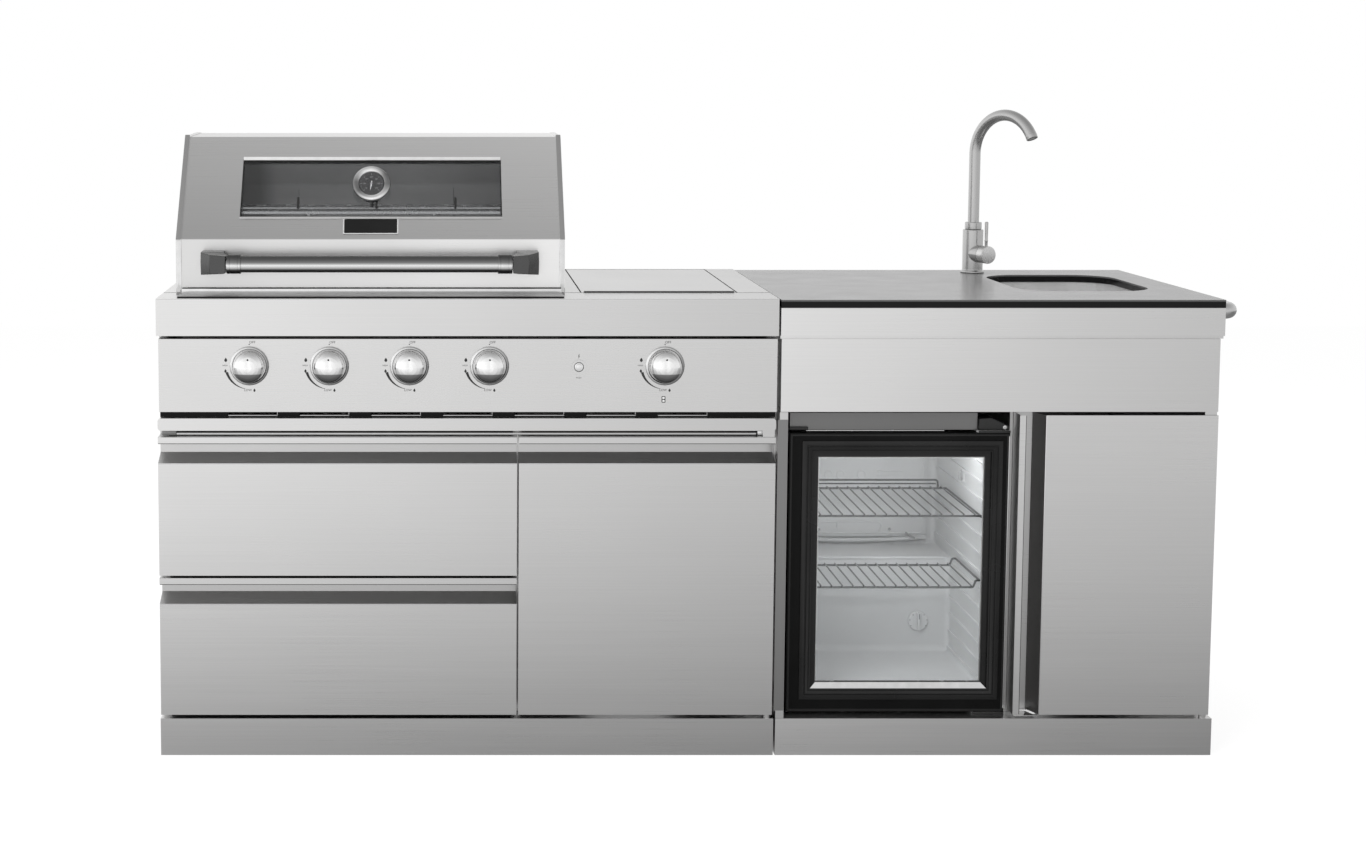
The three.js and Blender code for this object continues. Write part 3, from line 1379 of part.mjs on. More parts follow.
// Towel rail on the right side: a bent tube between two flanges
function railBody() {
  const wall = unit.sinkWidth + seam;
  const axis = unit.sinkWidth + sideRail.projection - sideRail.tube;
  const level = supportTop - sideRail.drop;
  const ends = [sideRail.start, sideRail.start + sideRail.length];
  const stations = [new THREE.Vector3(wall, ends[0], level)];
  const bendSteps = 5;
  for (let i = 0; i <= bendSteps; i += 1) {
    const angle = (i / bendSteps) * Math.PI / 2;
    stations.push(new THREE.Vector3(
      axis - sideRail.bend * (1 - Math.sin(angle)),
      ends[0] + sideRail.bend * (1 - Math.cos(angle)),
      level,
    ));
  }
  const turnedOver = (place) => new THREE.Vector3(place.x, ends[0] + ends[1] - place.y, level);
  const mirrored = stations.map(turnedOver).reverse();
  const flanges = ends.map((y) => (
    rod([wall, y, level], [wall + sideRail.flangeThick, y, level], sideRail.flange, sides.round)
  ));
  return join(tube([...stations, ...mirrored], sideRail.tube, sides.rod), ...flanges);
}

// Assembly

const bbqModule = new THREE.Group();
bbqModule.add(...bbqCarcass());
bbqModule.add(
  piece('firebox', fireboxPan(), blackSteel),
  piece('burner_bank', burnerBank(), innerSteel),
  piece('grill_grate', grillGrate(), castIron),
  piece('hotplate', hotplateBody(), castIron),
  piece('warming_rack', warmingRack(), chrome),
);
bbqModule.add(...hoodPieces(), ...controls());
bbqModule.add(
  piece('side_burner_bowl', sideBurnerBowl(), innerSteel),
  piece('side_burner_trivet', trivetBody(), castIron),
  piece('side_burner_cover', sideBurnerCover(), steel),
);
bbqModule.add(...bbqFronts());

const sinkModule = placed(new THREE.Group(), [unit.bbqWidth + unit.moduleGap, 0, 0]);
sinkModule.add(...sinkCarcass(), piece('sink_bowl', sinkBowl(), steel), sinkWaste(), tapPieces());
sinkModule.add(
  piece('fridge_cabinet', fridgeCabinet(), liner),
  piece('fridge_door', fridgeDoorFrame(), blackPlastic),
  piece('fridge_glass', fridgeGlass(), clearGlass),
  piece('fridge_shelf_upper', wireShelf(fridge.upperRibCount, cavityBack - shelf.upperBehind), chrome),
  piece('fridge_shelf_lower', wireShelf(fridge.lowerRibCount, humpFront - shelf.lowerBehind), chrome),
  piece('fridge_dial', fridgeDial(), liner),
  piece('cupboard_door', cupboardDoor(), steel),
  piece('side_rail', railBody(), chrome),
);

// The origin lies on the floor, under the middle of the whole island
const overallWidth = unit.bbqWidth + unit.moduleGap + unit.sinkWidth + sideRail.projection;
const frontReach = knob.proud - face.controlSet;
const kitchen = placed(new THREE.Group(), [-overallWidth / 2, (frontReach - unit.depth) / 2, 0]);
kitchen.add(bbqModule, sinkModule);

export default kitchen;
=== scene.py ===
"""Looks of a straight outdoor kitchen: a hooded gas barbecue with drawers and a side burner, joined to a
stone-topped module with a glazed fridge, a cupboard, a sink and a mixer tap.
Metres, x right, y back, z up."""

import math

import bpy
import numpy as np
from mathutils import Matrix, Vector


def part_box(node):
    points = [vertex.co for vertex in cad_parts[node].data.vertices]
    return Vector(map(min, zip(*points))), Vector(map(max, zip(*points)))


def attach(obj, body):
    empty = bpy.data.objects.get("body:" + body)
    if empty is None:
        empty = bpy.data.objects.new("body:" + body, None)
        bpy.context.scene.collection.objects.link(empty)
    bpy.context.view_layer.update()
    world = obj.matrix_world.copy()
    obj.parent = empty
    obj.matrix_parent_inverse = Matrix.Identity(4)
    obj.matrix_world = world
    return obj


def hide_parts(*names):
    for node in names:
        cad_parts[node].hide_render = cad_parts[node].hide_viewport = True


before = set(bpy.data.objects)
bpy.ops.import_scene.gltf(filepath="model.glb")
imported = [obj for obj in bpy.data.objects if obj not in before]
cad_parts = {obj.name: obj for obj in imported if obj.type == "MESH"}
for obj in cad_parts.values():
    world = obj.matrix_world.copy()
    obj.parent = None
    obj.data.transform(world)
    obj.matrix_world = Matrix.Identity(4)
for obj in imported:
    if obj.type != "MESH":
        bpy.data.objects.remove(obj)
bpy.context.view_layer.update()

RIGHT, FORWARD, BACK, UPWARD = (1, 0, 0), (0, -1, 0), (0, 1, 0), (0, 0, 1)  # forward is towards the cook
BURNER_X = [-0.8826, -0.7282, -0.5738, -0.4194, -0.081]  # x of the five knobs
KNOB_Z = 0.770  # height of their axes
PANEL_FACE = -0.303  # y of the control panel's face
FRONT = -0.305  # y of the doors' and drawers' faces
WORKTOP = 0.900  # height of the barbecue's worktop
HOOD_MIDDLE = -0.651  # x of the hood's middle

# ---- Surfaces worked out with numpy


def piece_from(name, points, faces, finish, smooth=True, sharp=35):
    """A mesh from an array of points and a list of faces, smooth except where faces meet at more than
    `sharp` degrees."""
    mesh = bpy.data.meshes.new(name)
    mesh.from_pydata(np.asarray(points, float).reshape(-1, 3).tolist(), [], faces)
    mesh.materials.append(finish)
    if smooth:
        mesh.shade_smooth()
        mesh.set_sharp_from_angle(angle=math.radians(sharp))
    made = bpy.data.objects.new(name, mesh)
    bpy.context.scene.collection.objects.link(made)
    return made


def quads(rows, columns, closed):
    """Faces between neighbouring points of a grid whose rows close on themselves: point (r, c) has number
    r times columns plus c, and a face joins (r, c), (r, c+1), (r+1, c+1) and (r+1, c)."""
    r = np.arange(rows if closed else rows - 1)[:, None]
    c = np.arange(columns)[None, :]
    here, above, beside = r * columns, (r + 1) % rows * columns, (c + 1) % columns
    return np.stack([here + c, here + beside, above + beside, above + c], -1).reshape(-1, 4)


def skin(name, rings, finish, closed=False, sharp=35, flip=False):
    """A skin over rings of equally many points: each point joins its neighbours in its own ring and in the
    next one. A closed skin joins its last ring to the first; any other has both end rings filled flat."""
    rings = np.asarray(rings, float)
    rows, columns = rings.shape[:2]
    faces = quads(rows, columns, closed).tolist()
    if not closed:
        faces.append(list(range(columns))[::-1])
        faces.append(list(range((rows - 1) * columns, rows * columns)))
    if flip:
        faces = [face[::-1] for face in faces]
    return piece_from(name, rings, faces, finish, sharp=sharp)


def circle(count, radius=1.0):
    """Points (radius cos a, radius sin a) at equal angles a round a full turn."""
    a = np.linspace(0, 2 * np.pi, count, endpoint=False)
    return np.stack([radius * np.cos(a), radius * np.sin(a)], -1)


def basis(direction):
    """A direction's unit vector d and two more square to it and to each other, u = up x d and v = d x u; for
    an upright d, u = right x d."""
    d = np.asarray(direction, float) / np.linalg.norm(direction)
    u = np.cross(UPWARD, d)
    if np.linalg.norm(u) < 1e-6:
        u = np.cross(RIGHT, d)
    u /= np.linalg.norm(u)
    return d, u, np.cross(d, u)


def turned(name, profile, foot, direction, finish, sides=64, sharp=35):
    """A profile of (radius, distance) pairs turned about a line: point = foot + distance d + radius (cos a u
    + sin a v). It starts and ends on the axis with a small disc."""
    d, u, v = basis(direction)
    profile = np.asarray(profile, float)
    ring = circle(sides)
    radii = np.maximum(profile[:, 0], 1e-5)
    rings = (
        np.asarray(foot, float)
        + profile[:, 1][:, None, None] * d
        + radii[:, None, None] * (ring[:, 0][None, :, None] * u + ring[:, 1][None, :, None] * v)
    )
    return skin(name, rings, finish, sharp=sharp)


def rounded_profile(corners, radius, steps=4):
    """A line of (radius, distance) corners with each inner corner rounded by a quadratic curve that starts
    and ends `radius` before and after it: p(t) = (1-t)^2 a + 2t(1-t) b + t^2 c."""
    corners = np.asarray(corners, float)
    line = [corners[0]]
    for before, here, after in zip(corners, corners[1:], corners[2:]):
        reach = min(radius, np.linalg.norm(before - here) / 2.01, np.linalg.norm(after - here) / 2.01)
        a = here + (before - here) / max(np.linalg.norm(before - here), 1e-9) * reach
        c = here + (after - here) / max(np.linalg.norm(after - here), 1e-9) * reach
        t = np.linspace(0, 1, steps + 1)[:, None]
        line.extend((1 - t) ** 2 * a + 2 * t * (1 - t) * here + t**2 * c)
    line.append(corners[-1])
    return np.array(line)


def lathe(name, corners, soft, foot, direction, finish, sides=64, steps=4):
    """A turned piece: its profile's corners in millimetres, each rounded by `soft` metres."""
    profile = rounded_profile(np.array(corners) / 1000, soft, steps)
    return turned(name, profile, foot, direction, finish, sides)


def tube(name, path, radius, finish, sides=24, closed=False):
    """A round tube along a path: ring i lies square to the path's direction there, and its first axis is the
    ring before's, with the part along the new direction taken off."""
    path = np.asarray(path, float)
    step = np.roll(path, -1, 0) - np.roll(path, 1, 0)
    if not closed:
        step[0], step[-1] = path[1] - path[0], path[-1] - path[-2]
    step /= np.linalg.norm(step, axis=1)[:, None]
    u = basis(step[0])[1]
    axes = []
    for d in step:
        u = u - d * np.dot(u, d)
        u /= np.linalg.norm(u)
        axes.append((u, np.cross(d, u)))
    first, second = (np.array(side) for side in zip(*axes))
    ring = circle(sides)
    radii = np.broadcast_to(np.asarray(radius, float), (len(path),))[:, None, None]
    rings = path[:, None, :] + radii * (
        ring[:, 0][None, :, None] * first[:, None, :] + ring[:, 1][None, :, None] * second[:, None, :]
    )
    return skin(name, rings, finish, closed=closed)


def rounded_line(points, radius, steps=8):
    """A path with its corners rounded by circular arcs of a given radius, or the largest that fits."""
    points = np.asarray(points, float)
    line = [points[0]]
    for a, b, c in zip(points, points[1:], points[2:]):
        p, q = (a - b) / np.linalg.norm(a - b), (c - b) / np.linalg.norm(c - b)
        half = math.acos(np.clip(np.dot(p, q), -1, 1)) / 2
        if half > math.radians(89.5):
            line.append(b)
            continue
        reach = min(radius / math.tan(half), np.linalg.norm(a - b) / 2.01, np.linalg.norm(c - b) / 2.01)
        r = reach * math.tan(half)
        middle = b + (p + q) / np.linalg.norm(p + q) * (r / math.sin(half))
        start, end = b + p * reach - middle, b + q * reach - middle
        whole = math.acos(np.clip(np.dot(start, end) / r**2, -1, 1))
        t = np.linspace(0, 1, steps + 1)[:, None]
        line.extend(middle + (np.sin((1 - t) * whole) * start + np.sin(t * whole) * end) / math.sin(whole))
    line.append(points[-1])
    return np.array(line)


def rounded_rectangle(width, height, radius, steps=6):
    """An outline round the origin: a quarter circle of `radius` about each corner's centre, anticlockwise."""
    centres = np.array([[1, -1], [1, 1], [-1, 1], [-1, -1]]) * [width / 2 - radius, height / 2 - radius]
    starts = np.array([-0.5, 0.0, 0.5, 1.0]) * np.pi
    a = starts[:, None] + np.linspace(0, np.pi / 2, steps + 1)[None, :]
    return (centres[:, None, :] + radius * np.stack([np.cos(a), np.sin(a)], -1)).reshape(-1, 2)


def plate(name, outline, foot, right, up, depth, finish, edge=0.0):
    """A flat plate: its outline in (right, up), raised by `depth` along right x up, with an edge rounded over
    a quarter circle, r(t) = inset (1 - cos t), h(t) = depth - edge + edge sin t."""
    right, up = (np.asarray(side, float) / np.linalg.norm(side) for side in (right, up))
    out = np.cross(right, up)
    outline = np.asarray(outline, float)
    middle = (outline.max(0) + outline.min(0)) / 2
    half = (outline.max(0) - outline.min(0)) / 2
    levels = [(0.0, 0.0)]
    if edge:
        t = np.linspace(0, np.pi / 2, 5)
        levels += list(zip(edge * (1 - np.cos(t)), depth - edge + edge * np.sin(t)))
    else:
        levels.append((0.0, depth))
    rings = []
    for inset, height in levels:
        flat = middle + (outline - middle) * (1 - inset / half)
        rings.append(np.asarray(foot) + flat[:, :1] * right + flat[:, 1:] * up + height * out)
    return skin(name, np.array(rings), finish)


def block(name, low, high, finish, edge=0.0008):
    """A box with softened edges: a rounded outline in (x, y) that is drawn in at the top and the bottom along
    a quarter circle."""
    low, high = np.asarray(low, float), np.asarray(high, float)
    size, middle = high - low, (high + low) / 2
    edge = min(edge, *(size / 2.1))
    t = np.linspace(0, np.pi / 2, 4)
    inset = np.concatenate([edge * (1 - np.sin(t)), edge * (1 - np.cos(t))])
    level = np.concatenate([low[2] + edge * (1 - np.cos(t)), high[2] - edge * (1 - np.sin(t))])
    outline = rounded_rectangle(size[0], size[1], edge, 3)
    rings = [
        np.column_stack([middle[:2] + outline * (1 - 2 * i / size[:2]), np.full(len(outline), z)])
        for i, z in zip(inset, level)
    ]
    return skin(name, np.array(rings), finish, sharp=50)


def corners_of(mesh):
    """A mesh's points as an array."""
    co = np.empty(len(mesh.vertices) * 3)
    mesh.vertices.foreach_get("co", co)
    return co.reshape(-1, 3)


def joined(name, parts):
    """One piece from several that share a body; every face keeps its own finish."""
    points, faces, finishes, slots, shift = [], [], [], [], 0
    for part in parts:
        mesh = part.data
        points.append(corners_of(mesh))
        faces += [[v + shift for v in polygon.vertices] for polygon in mesh.polygons]
        shift += len(mesh.vertices)
        if mesh.materials[0] not in finishes:
            finishes.append(mesh.materials[0])
        slots += [finishes.index(mesh.materials[0])] * len(mesh.polygons)
        bpy.data.objects.remove(part)
    made = piece_from(name, np.concatenate(points), faces, finishes[0])
    for extra in finishes[1:]:
        made.data.materials.append(extra)
    made.data.polygons.foreach_set("material_index", slots)
    return made


def add(piece, body, slot, *nodes):
    """Seats a piece: it rides on a body and may stand for solids, which it hides. Its slot is not used."""
    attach(piece, body)
    if nodes:
        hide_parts(*nodes)
    return piece


def lettering(name, words, height, foot, right, up, finish):
    """Printed letters of a given height, centred on a foot point in the plane of right and up."""
    lift = 0.0002
    curve = bpy.data.curves.new(name, "FONT")
    curve.body, curve.size, curve.align_x, curve.align_y = words, height, "CENTER", "CENTER"
    curve.resolution_u = 3
    text = bpy.data.objects.new(name, curve)
    bpy.context.scene.collection.objects.link(text)
    mesh = bpy.data.meshes.new_from_object(text.evaluated_get(bpy.context.evaluated_depsgraph_get()))
    bpy.data.objects.remove(text)
    co = corners_of(mesh)
    right, up = np.asarray(right, float), np.asarray(up, float)
    points = np.asarray(foot, float) + co[:, :1] * right + co[:, 1:2] * up + lift * np.cross(right, up)
    faces = [list(polygon.vertices) for polygon in mesh.polygons]
    return piece_from(name, points, faces, finish, smooth=False)


# ---- Finishes: node materials on object coordinates


class Tree:
    """Shader nodes of a material or world, added step by step; each helper but `node` returns the socket that
    carries its result."""

    def __init__(self, owner):
        owner.use_nodes = True
        self.nodes, self.links = owner.node_tree.nodes, owner.node_tree.links

    def put(self, socket, value):
        """Wires a socket to another one, or sets it to a constant."""
        if isinstance(value, bpy.types.NodeSocket):
            self.links.new(value, socket)
        else:
            socket.default_value = value

    def node(self, kind, inputs=None, **options):
        made = self.nodes.new(kind)
        for key, value in options.items():
            setattr(made, key, value)
        for key, value in (inputs or {}).items():
            self.put(made.inputs[key], value)
        return made

    def ranged(self, value, low, high, from_low=0.3, from_high=0.7):
        return self.node(
            "ShaderNodeMapRange", {0: value, 1: from_low, 2: from_high, 3: low, 4: high}
        ).outputs[0]

    def math(self, operation, a, b=0.0):
        return self.node("ShaderNodeMath", {0: a, 1: b}, operation=operation).outputs[0]

    def parts(self, vector):
        """The X, Y and Z of a vector."""
        return self.node("ShaderNodeSeparateXYZ", {0: vector}).outputs


class Finish(Tree):
    """A material whose patterns lie on object coordinates."""

    def __init__(self, name):
        self.material = bpy.data.materials.new(name)
        super().__init__(self.material)
        self.shader = self.nodes["Principled BSDF"]
        self.place = self.nodes.new("ShaderNodeTexCoord").outputs["Object"]

    def noise(self, scale, detail=3.0, stretch=(1.0, 1.0, 1.0)):
        drawn = self.node("ShaderNodeVectorMath", {0: self.place, 1: stretch}, operation="MULTIPLY")
        inputs = {"Vector": drawn.outputs[0], "Scale": scale, "Detail": detail}
        return self.node("ShaderNodeTexNoise", inputs).outputs["Fac"]

    def mixed(self, share, a, b):
        made = self.node("ShaderNodeMix", data_type="RGBA")
        for number, value in ((0, share), (6, a), (7, b)):
            self.put(made.inputs[number], value)
        return made.outputs[2]

    def scaled(self, colour, factor):
        return self.node("ShaderNodeVectorMath", {0: colour, "Scale": factor}, operation="SCALE").outputs[0]

    def bump(self, height, strength, distance):
        inputs = {"Strength": strength, "Distance": distance, "Height": height}
        return self.node("ShaderNodeBump", inputs).outputs["Normal"]

    def set(self, **values):
        for key, value in values.items():
            self.put(self.shader.inputs[key.replace("_", " ")], value)
        return self.material

    def show(self, shader):
        """Sends a shader to the material's output in place of the principled one."""
        self.links.new(shader, self.nodes["Material Output"].inputs["Surface"])
        return self.material


def grey(value, warm=0.0):
    """A grey, with a little more red than blue when it is warm."""
    return (value * (1 + warm), value, value * (1 - warm), 1.0)


PULL_FLOOR = (-0.3045, -0.3035), (-0.2622, -0.2616)  # y where the floors of the finger pulls begin and end


def brushed(name, tone, roughness, grain, spread=0.03, pull_shade=1.0, fade=()):
    """Brushed steel: fine noise drawn out along the grain turns into small changes of tone, gloss and
    height, with faint broad clouds over it. A pull shade below 1 darkens the slanting floors of the finger
    pulls as painted shade; each fade is (axis, from, to, factor, factor) and paints light and shade as a
    tone that runs along the object."""
    f, warm = Finish(name), 0.004
    fine = f.noise(1.0, 3.0, grain)
    cloud = f.noise(4.5, 2.0)
    base = f.mixed(f.ranged(fine, 0.0, 1.0), grey(tone * 0.975, warm), grey(tone * 1.02, warm))
    base = f.mixed(f.ranged(cloud, 0.0, 0.06), base, grey(tone * 0.85, warm))
    at = f.parts(f.place)
    # painted shade on the slanting floors of the finger pulls
    if pull_shade < 1.0:
        behind = f.ranged(at["Y"], 0.0, 1.0, *PULL_FLOOR[0])
        before_wall = f.ranged(at["Y"], 1.0, 0.0, *PULL_FLOOR[1])
        base = f.mixed(f.math("MULTIPLY", behind, before_wall), base, grey(tone * pull_shade, warm))
    for axis, start, end, first, last in fade:
        base = f.scaled(base, f.ranged(at[axis], first, last, start, end))
    rough = f.ranged(fine, roughness - spread, roughness + spread)
    rough = f.math("ADD", rough, f.ranged(cloud, -0.01, 0.02))
    return f.set(Base_Color=base, Metallic=1.0, Roughness=rough, Normal=f.bump(fine, 0.02, 0.0004))


def plain_metal(name, tone, roughness, scale=60.0, metallic=1.0):
    """Polished, turned or cast metal: a light change of gloss from fine noise and a faint unevenness."""
    f = Finish(name)
    fine = f.noise(scale, 4.0)
    base = f.mixed(f.ranged(fine, 0.0, 1.0), grey(tone * 0.95), grey(tone * 1.04))
    return f.set(
        Base_Color=base, Metallic=metallic, Roughness=f.ranged(fine, roughness * 0.85, roughness * 1.2),
        Normal=f.bump(fine, 0.03, 0.0003),
    )


def painted_reflection_ramp(name, roughness, level, stops):
    """Steel with a painted reflection: its tone follows the height over a level, as a ramp of (height in mm,
    tone) stops.
    """
    f = Finish(name)
    fine = f.noise(1.0, 3.0, (900.0, 6.0, 6.0))
    low, high = stops[0][0], stops[-1][0]
    along = f.ranged(f.parts(f.place)["Z"], 0.0, 1.0, level + low / 1000, level + high / 1000)
    ramp = f.node("ShaderNodeValToRGB", {0: along})
    while len(ramp.color_ramp.elements) < len(stops):
        ramp.color_ramp.elements.new(0.5)
    for element, (mark, tone) in zip(ramp.color_ramp.elements, stops):
        element.position = (mark - low) / (high - low)
        element.color = grey(tone)
    base = f.mixed(f.ranged(fine, 0.0, 0.04), ramp.outputs[0], grey(0.5))
    return f.set(Base_Color=base, Metallic=1.0, Roughness=f.ranged(fine, roughness - 0.03, roughness + 0.03))


def painted_fans(name, tone, roughness, centre, u, v, turn, dark, fans=2.0):
    """Steel with painted highlights: bright fans at equal angles round an axis and painted shade between
    them, from the cosine of `fans` times the angle atan2(p . v, p . u)."""
    f = Finish(name)
    away = f.node("ShaderNodeVectorMath", {0: f.place, 1: tuple(centre)}, operation="SUBTRACT").outputs[0]
    a, b = (
        f.node("ShaderNodeVectorMath", {0: away, 1: tuple(way)}, operation="DOT_PRODUCT").outputs["Value"]
        for way in (u, v)
    )
    turned_by = f.math("MULTIPLY", f.math("ADD", f.math("ARCTAN2", b, a), -turn), fans)
    share = f.ranged(f.math("COSINE", turned_by), 0.0, 1.0, -0.8, 0.9)
    fine = f.noise(90.0, 3.0)
    return f.set(
        Base_Color=f.mixed(share, grey(tone * dark), grey(tone)), Metallic=1.0,
        Roughness=f.ranged(fine, roughness * 0.85, roughness * 1.2),
    )


def coated(name, tone, roughness, pebbles=900.0, strength=0.12, spread=0.25, specular=0.5):
    """Powder coat, enamel or plastic: a fine pebbled skin over a coat of one tone, with soft clouds."""
    f = Finish(name)
    fine = f.noise(pebbles, 2.0)
    cloud = f.noise(9.0, 3.0)
    base = f.mixed(f.ranged(cloud, 0.0, 1.0), grey(tone * (1 - spread)), grey(tone * (1 + spread)))
    return f.set(
        Base_Color=base, Roughness=f.ranged(cloud, roughness * 0.9, roughness * 1.12),
        Normal=f.bump(fine, strength, 0.0004), Specular_IOR_Level=specular,
    )


# The sheets' grains, and the painted light of each module: lighter at its left end, darker at its right
ALONG_X, ALONG_Y, UPRIGHT = (3.0, 900.0, 900.0), (900.0, 3.0, 900.0), (900.0, 900.0, 3.0)
LEFT_UNIT_PAINTED_LIGHT, RIGHT_UNIT_PAINTED_LIGHT = ("X", -1.062, 0.138, 1.13, 0.90), ("X", 0.142, 0.997, 1.16, 0.90)
steel = brushed("SteelBrushed", 0.74, 0.30, ALONG_X, fade=[LEFT_UNIT_PAINTED_LIGHT])
steel_right = brushed("SteelRightUnit", 0.74, 0.30, ALONG_X, fade=[RIGHT_UNIT_PAINTED_LIGHT])
steel_front = brushed("SteelFronts", 0.74, 0.30, ALONG_X, pull_shade=0.78, fade=[LEFT_UNIT_PAINTED_LIGHT])
# Painted shade on the cupboard door: darker pull floors, and a tone that darkens a little towards its right
steel_cupboard = brushed(
    "SteelCupboard", 0.74, 0.30, ALONG_X, pull_shade=0.6, fade=[("X", 0.60, 0.99, 1.0, 0.96)]
)
# Painted light on the hood: lighter towards its right end and towards the top of the slope, and the band
# below the slope brighter still
steel_hood = brushed("SteelHood", 0.74, 0.30, ALONG_X, fade=[
    ("X", -1.03, -0.27, 0.93, 1.12), ("Z", 1.01, 1.21, 0.90, 1.12), ("Z", 1.0069, 1.0079, 1.24, 1.0),
])
steel_deep = brushed("SteelBrushedDeep", 0.70, 0.32, ALONG_Y)
# Painted light: the control panel lighter at its left end, darker at its right
steel_panel = brushed("SteelControlPanel", 0.75, 0.28, ALONG_X, fade=[("X", -1.062, 0.138, 1.05, 0.95)])
bowl_steel = plain_metal("SteelBowl", 0.70, 0.40, metallic=0.6)
steel_inner = brushed("SteelInner", 0.42, 0.42, (120.0, 500.0, 120.0))
steel_bright = plain_metal("SteelPolished", 0.78, 0.12)
chrome = plain_metal("ChromePolished", 0.86, 0.055)
satin = plain_metal("ChromeSatin", 0.62, 0.24)
galvanised = plain_metal("ZincCoated", 0.45, 0.36, scale=25.0)
iron = coated("CastIronEnamelled", 0.022, 0.42, pebbles=700.0, strength=0.35)
graphite = coated("GraphiteSatin", 0.045, 0.30, pebbles=1500.0, strength=0.08)
dark_gap = coated("ShadowBlack", 0.004, 0.7, pebbles=500.0)
door_black = coated("DoorFrameBlack", 0.005, 0.30, pebbles=2500.0, strength=0.05, specular=0.10)
liner = coated("FridgeLiner", 0.78, 0.42, pebbles=900.0, strength=0.04, spread=0.03)
rubber = coated("SealRubber", 0.010, 0.62, pebbles=1200.0)
plastic = coated("PlasticBlack", 0.012, 0.38, pebbles=1200.0)
plastic_pale = coated("PlasticPale", 0.42, 0.42, pebbles=1200.0, spread=0.04)
print_black = coated("PrintBlack", 0.018, 0.5, pebbles=2000.0, strength=0.02)
print_grey = coated("PrintGrey", 0.30, 0.5, pebbles=2000.0, strength=0.02, spread=0.04)
print_white = coated("PrintWhite", 0.78, 0.5, pebbles=2000.0, strength=0.02, spread=0.04)
dial_face = coated("DialCharcoal", 0.012, 0.35, pebbles=2500.0, strength=0.03)
red = Finish("PointerRed")
red = red.set(
    Base_Color=red.mixed(
        red.ranged(red.noise(300.0), 0.0, 1.0), (0.52, 0.02, 0.015, 1), (0.62, 0.03, 0.02, 1)
    ),
    Roughness=red.ranged(red.noise(600.0), 0.3, 0.4),
)


STONE_EDGE, STONE_TOP = (0.8940, 0.8955), (0.8976, 0.8979)  # heights over which the arris and the top begin


def stone_finish():
    """Honed grey quartz: fine cells in close greys under faint clouds, with a satin polish. The cut edges,
    all that lies lower than the top, are painted near black as shade, with a thin grey arris above."""
    f = Finish("StoneHoned")
    cells = f.node("ShaderNodeTexVoronoi", {"Vector": f.place, "Scale": 900.0}).outputs["Color"]
    pick = f.node("ShaderNodeSeparateColor", {0: cells}).outputs[0]
    cloud = f.noise(14.0, 4.0)
    level = f.parts(f.place)["Z"]
    top, arris = f.ranged(level, 0.0, 1.0, *STONE_TOP), f.ranged(level, 0.0, 1.0, *STONE_EDGE)
    base = f.mixed(f.ranged(pick, 0.0, 1.0, 0.0, 1.0), grey(0.105), grey(0.14))
    base = f.mixed(f.ranged(pick, 0.0, 0.5, 0.92, 0.98), base, grey(0.24))
    base = f.mixed(f.ranged(cloud, 0.0, 0.12), base, grey(0.10))
    # painted shade: the cut edges near black
    edge = f.mixed(arris, grey(0.006), grey(0.10))
    return f.set(
        Base_Color=f.mixed(top, edge, base), Roughness=f.ranged(cloud, 0.22, 0.25),
        Normal=f.bump(pick, 0.02, 0.0001), Specular_IOR_Level=f.ranged(top, 0.15, 0.8, 0.0, 1.0),
    )


def glass_finish(name, tint, roughness=0.02, smudge=0.05):
    """Clear toughened glass: straight-through transparency under a faint tint, with a sharp reflection that
    grows at flat angles as 0.04 + 0.9 (1 - cos a)^5; broad clouds of a thin film lift the gloss a little."""
    f = Finish(name)
    film = f.noise(7.0, 4.0)
    clear = f.node("ShaderNodeBsdfTransparent", {"Color": tint}).outputs[0]
    glossy = f.node(
        "ShaderNodeBsdfGlossy",
        {"Color": (1, 1, 1, 1), "Roughness": f.ranged(film, roughness, roughness + smudge)},
    ).outputs[0]
    facing = f.node("ShaderNodeLayerWeight", {"Blend": 0.5}).outputs["Facing"]
    share = f.math("ADD", f.math("MULTIPLY", f.math("POWER", facing, 5.0), 0.9), f.ranged(film, 0.035, 0.045))
    mix = f.node("ShaderNodeMixShader", {0: share, 1: clear, 2: glossy}).outputs[0]
    f.nodes.remove(f.shader)
    return f.show(mix)


stone = stone_finish()
hood_pane = glass_finish("HoodGlass", (0.88, 0.885, 0.89, 1))
fridge_pane = glass_finish("FridgeGlass", (0.95, 0.96, 0.965, 1))
lens = glass_finish("GaugeLens", (0.96, 0.96, 0.97, 1), 0.01, 0.02)

# ---- Finishes of the solids

FIVE = range(1, 6)
NODE_FINISHES = {
    steel: ("bbq_front_rail", "bbq_base", "bbq_back", "bbq_worktop", "side_burner_cover"),
    steel_panel: ("control_panel",),
    steel_hood: ("hood",),
    steel_right: ("sink_apron", "sink_base", "sink_back"),
    steel_front: ("drawer_upper_front", "drawer_lower_front", "gas_door"),
    steel_cupboard: ("cupboard_door",),
    bowl_steel: ("sink_bowl",),
    steel_deep: (
        "bbq_side_left", "bbq_side_right", "bbq_divider", "sink_side_left", "sink_side_right", "sink_divider",
    ),
    steel_inner: ("firebox", "drawer_upper_box", "drawer_lower_box", "side_burner_bowl"),
    satin: (
        "side_rail", "warming_rack", "hood_handle_bar", *(f"valve_spindle_{number}" for number in FIVE),
        "burner_bank", "fridge_shelf_upper", "fridge_shelf_lower", "sink_waste",
    ),
    chrome: (
        *(f"burner_knob_{number}" for number in FIVE), "igniter_button", "hood_thermometer", "tap_body",
        "tap_spout", "tap_cartridge", "tap_lever",
    ),
    galvanised: ("gas_manifold",),
    graphite: ("hood_handle_post_left", "hood_handle_post_right"),
    iron: ("grill_grate", "hotplate", "side_burner_trivet"),
    stone: ("benchtop",),
    liner: ("fridge_cabinet",),
    door_black: ("fridge_door",),
    plastic: ("fridge_dial",),
    hood_pane: ("hood_glass",),
    fridge_pane: ("fridge_glass",),
}
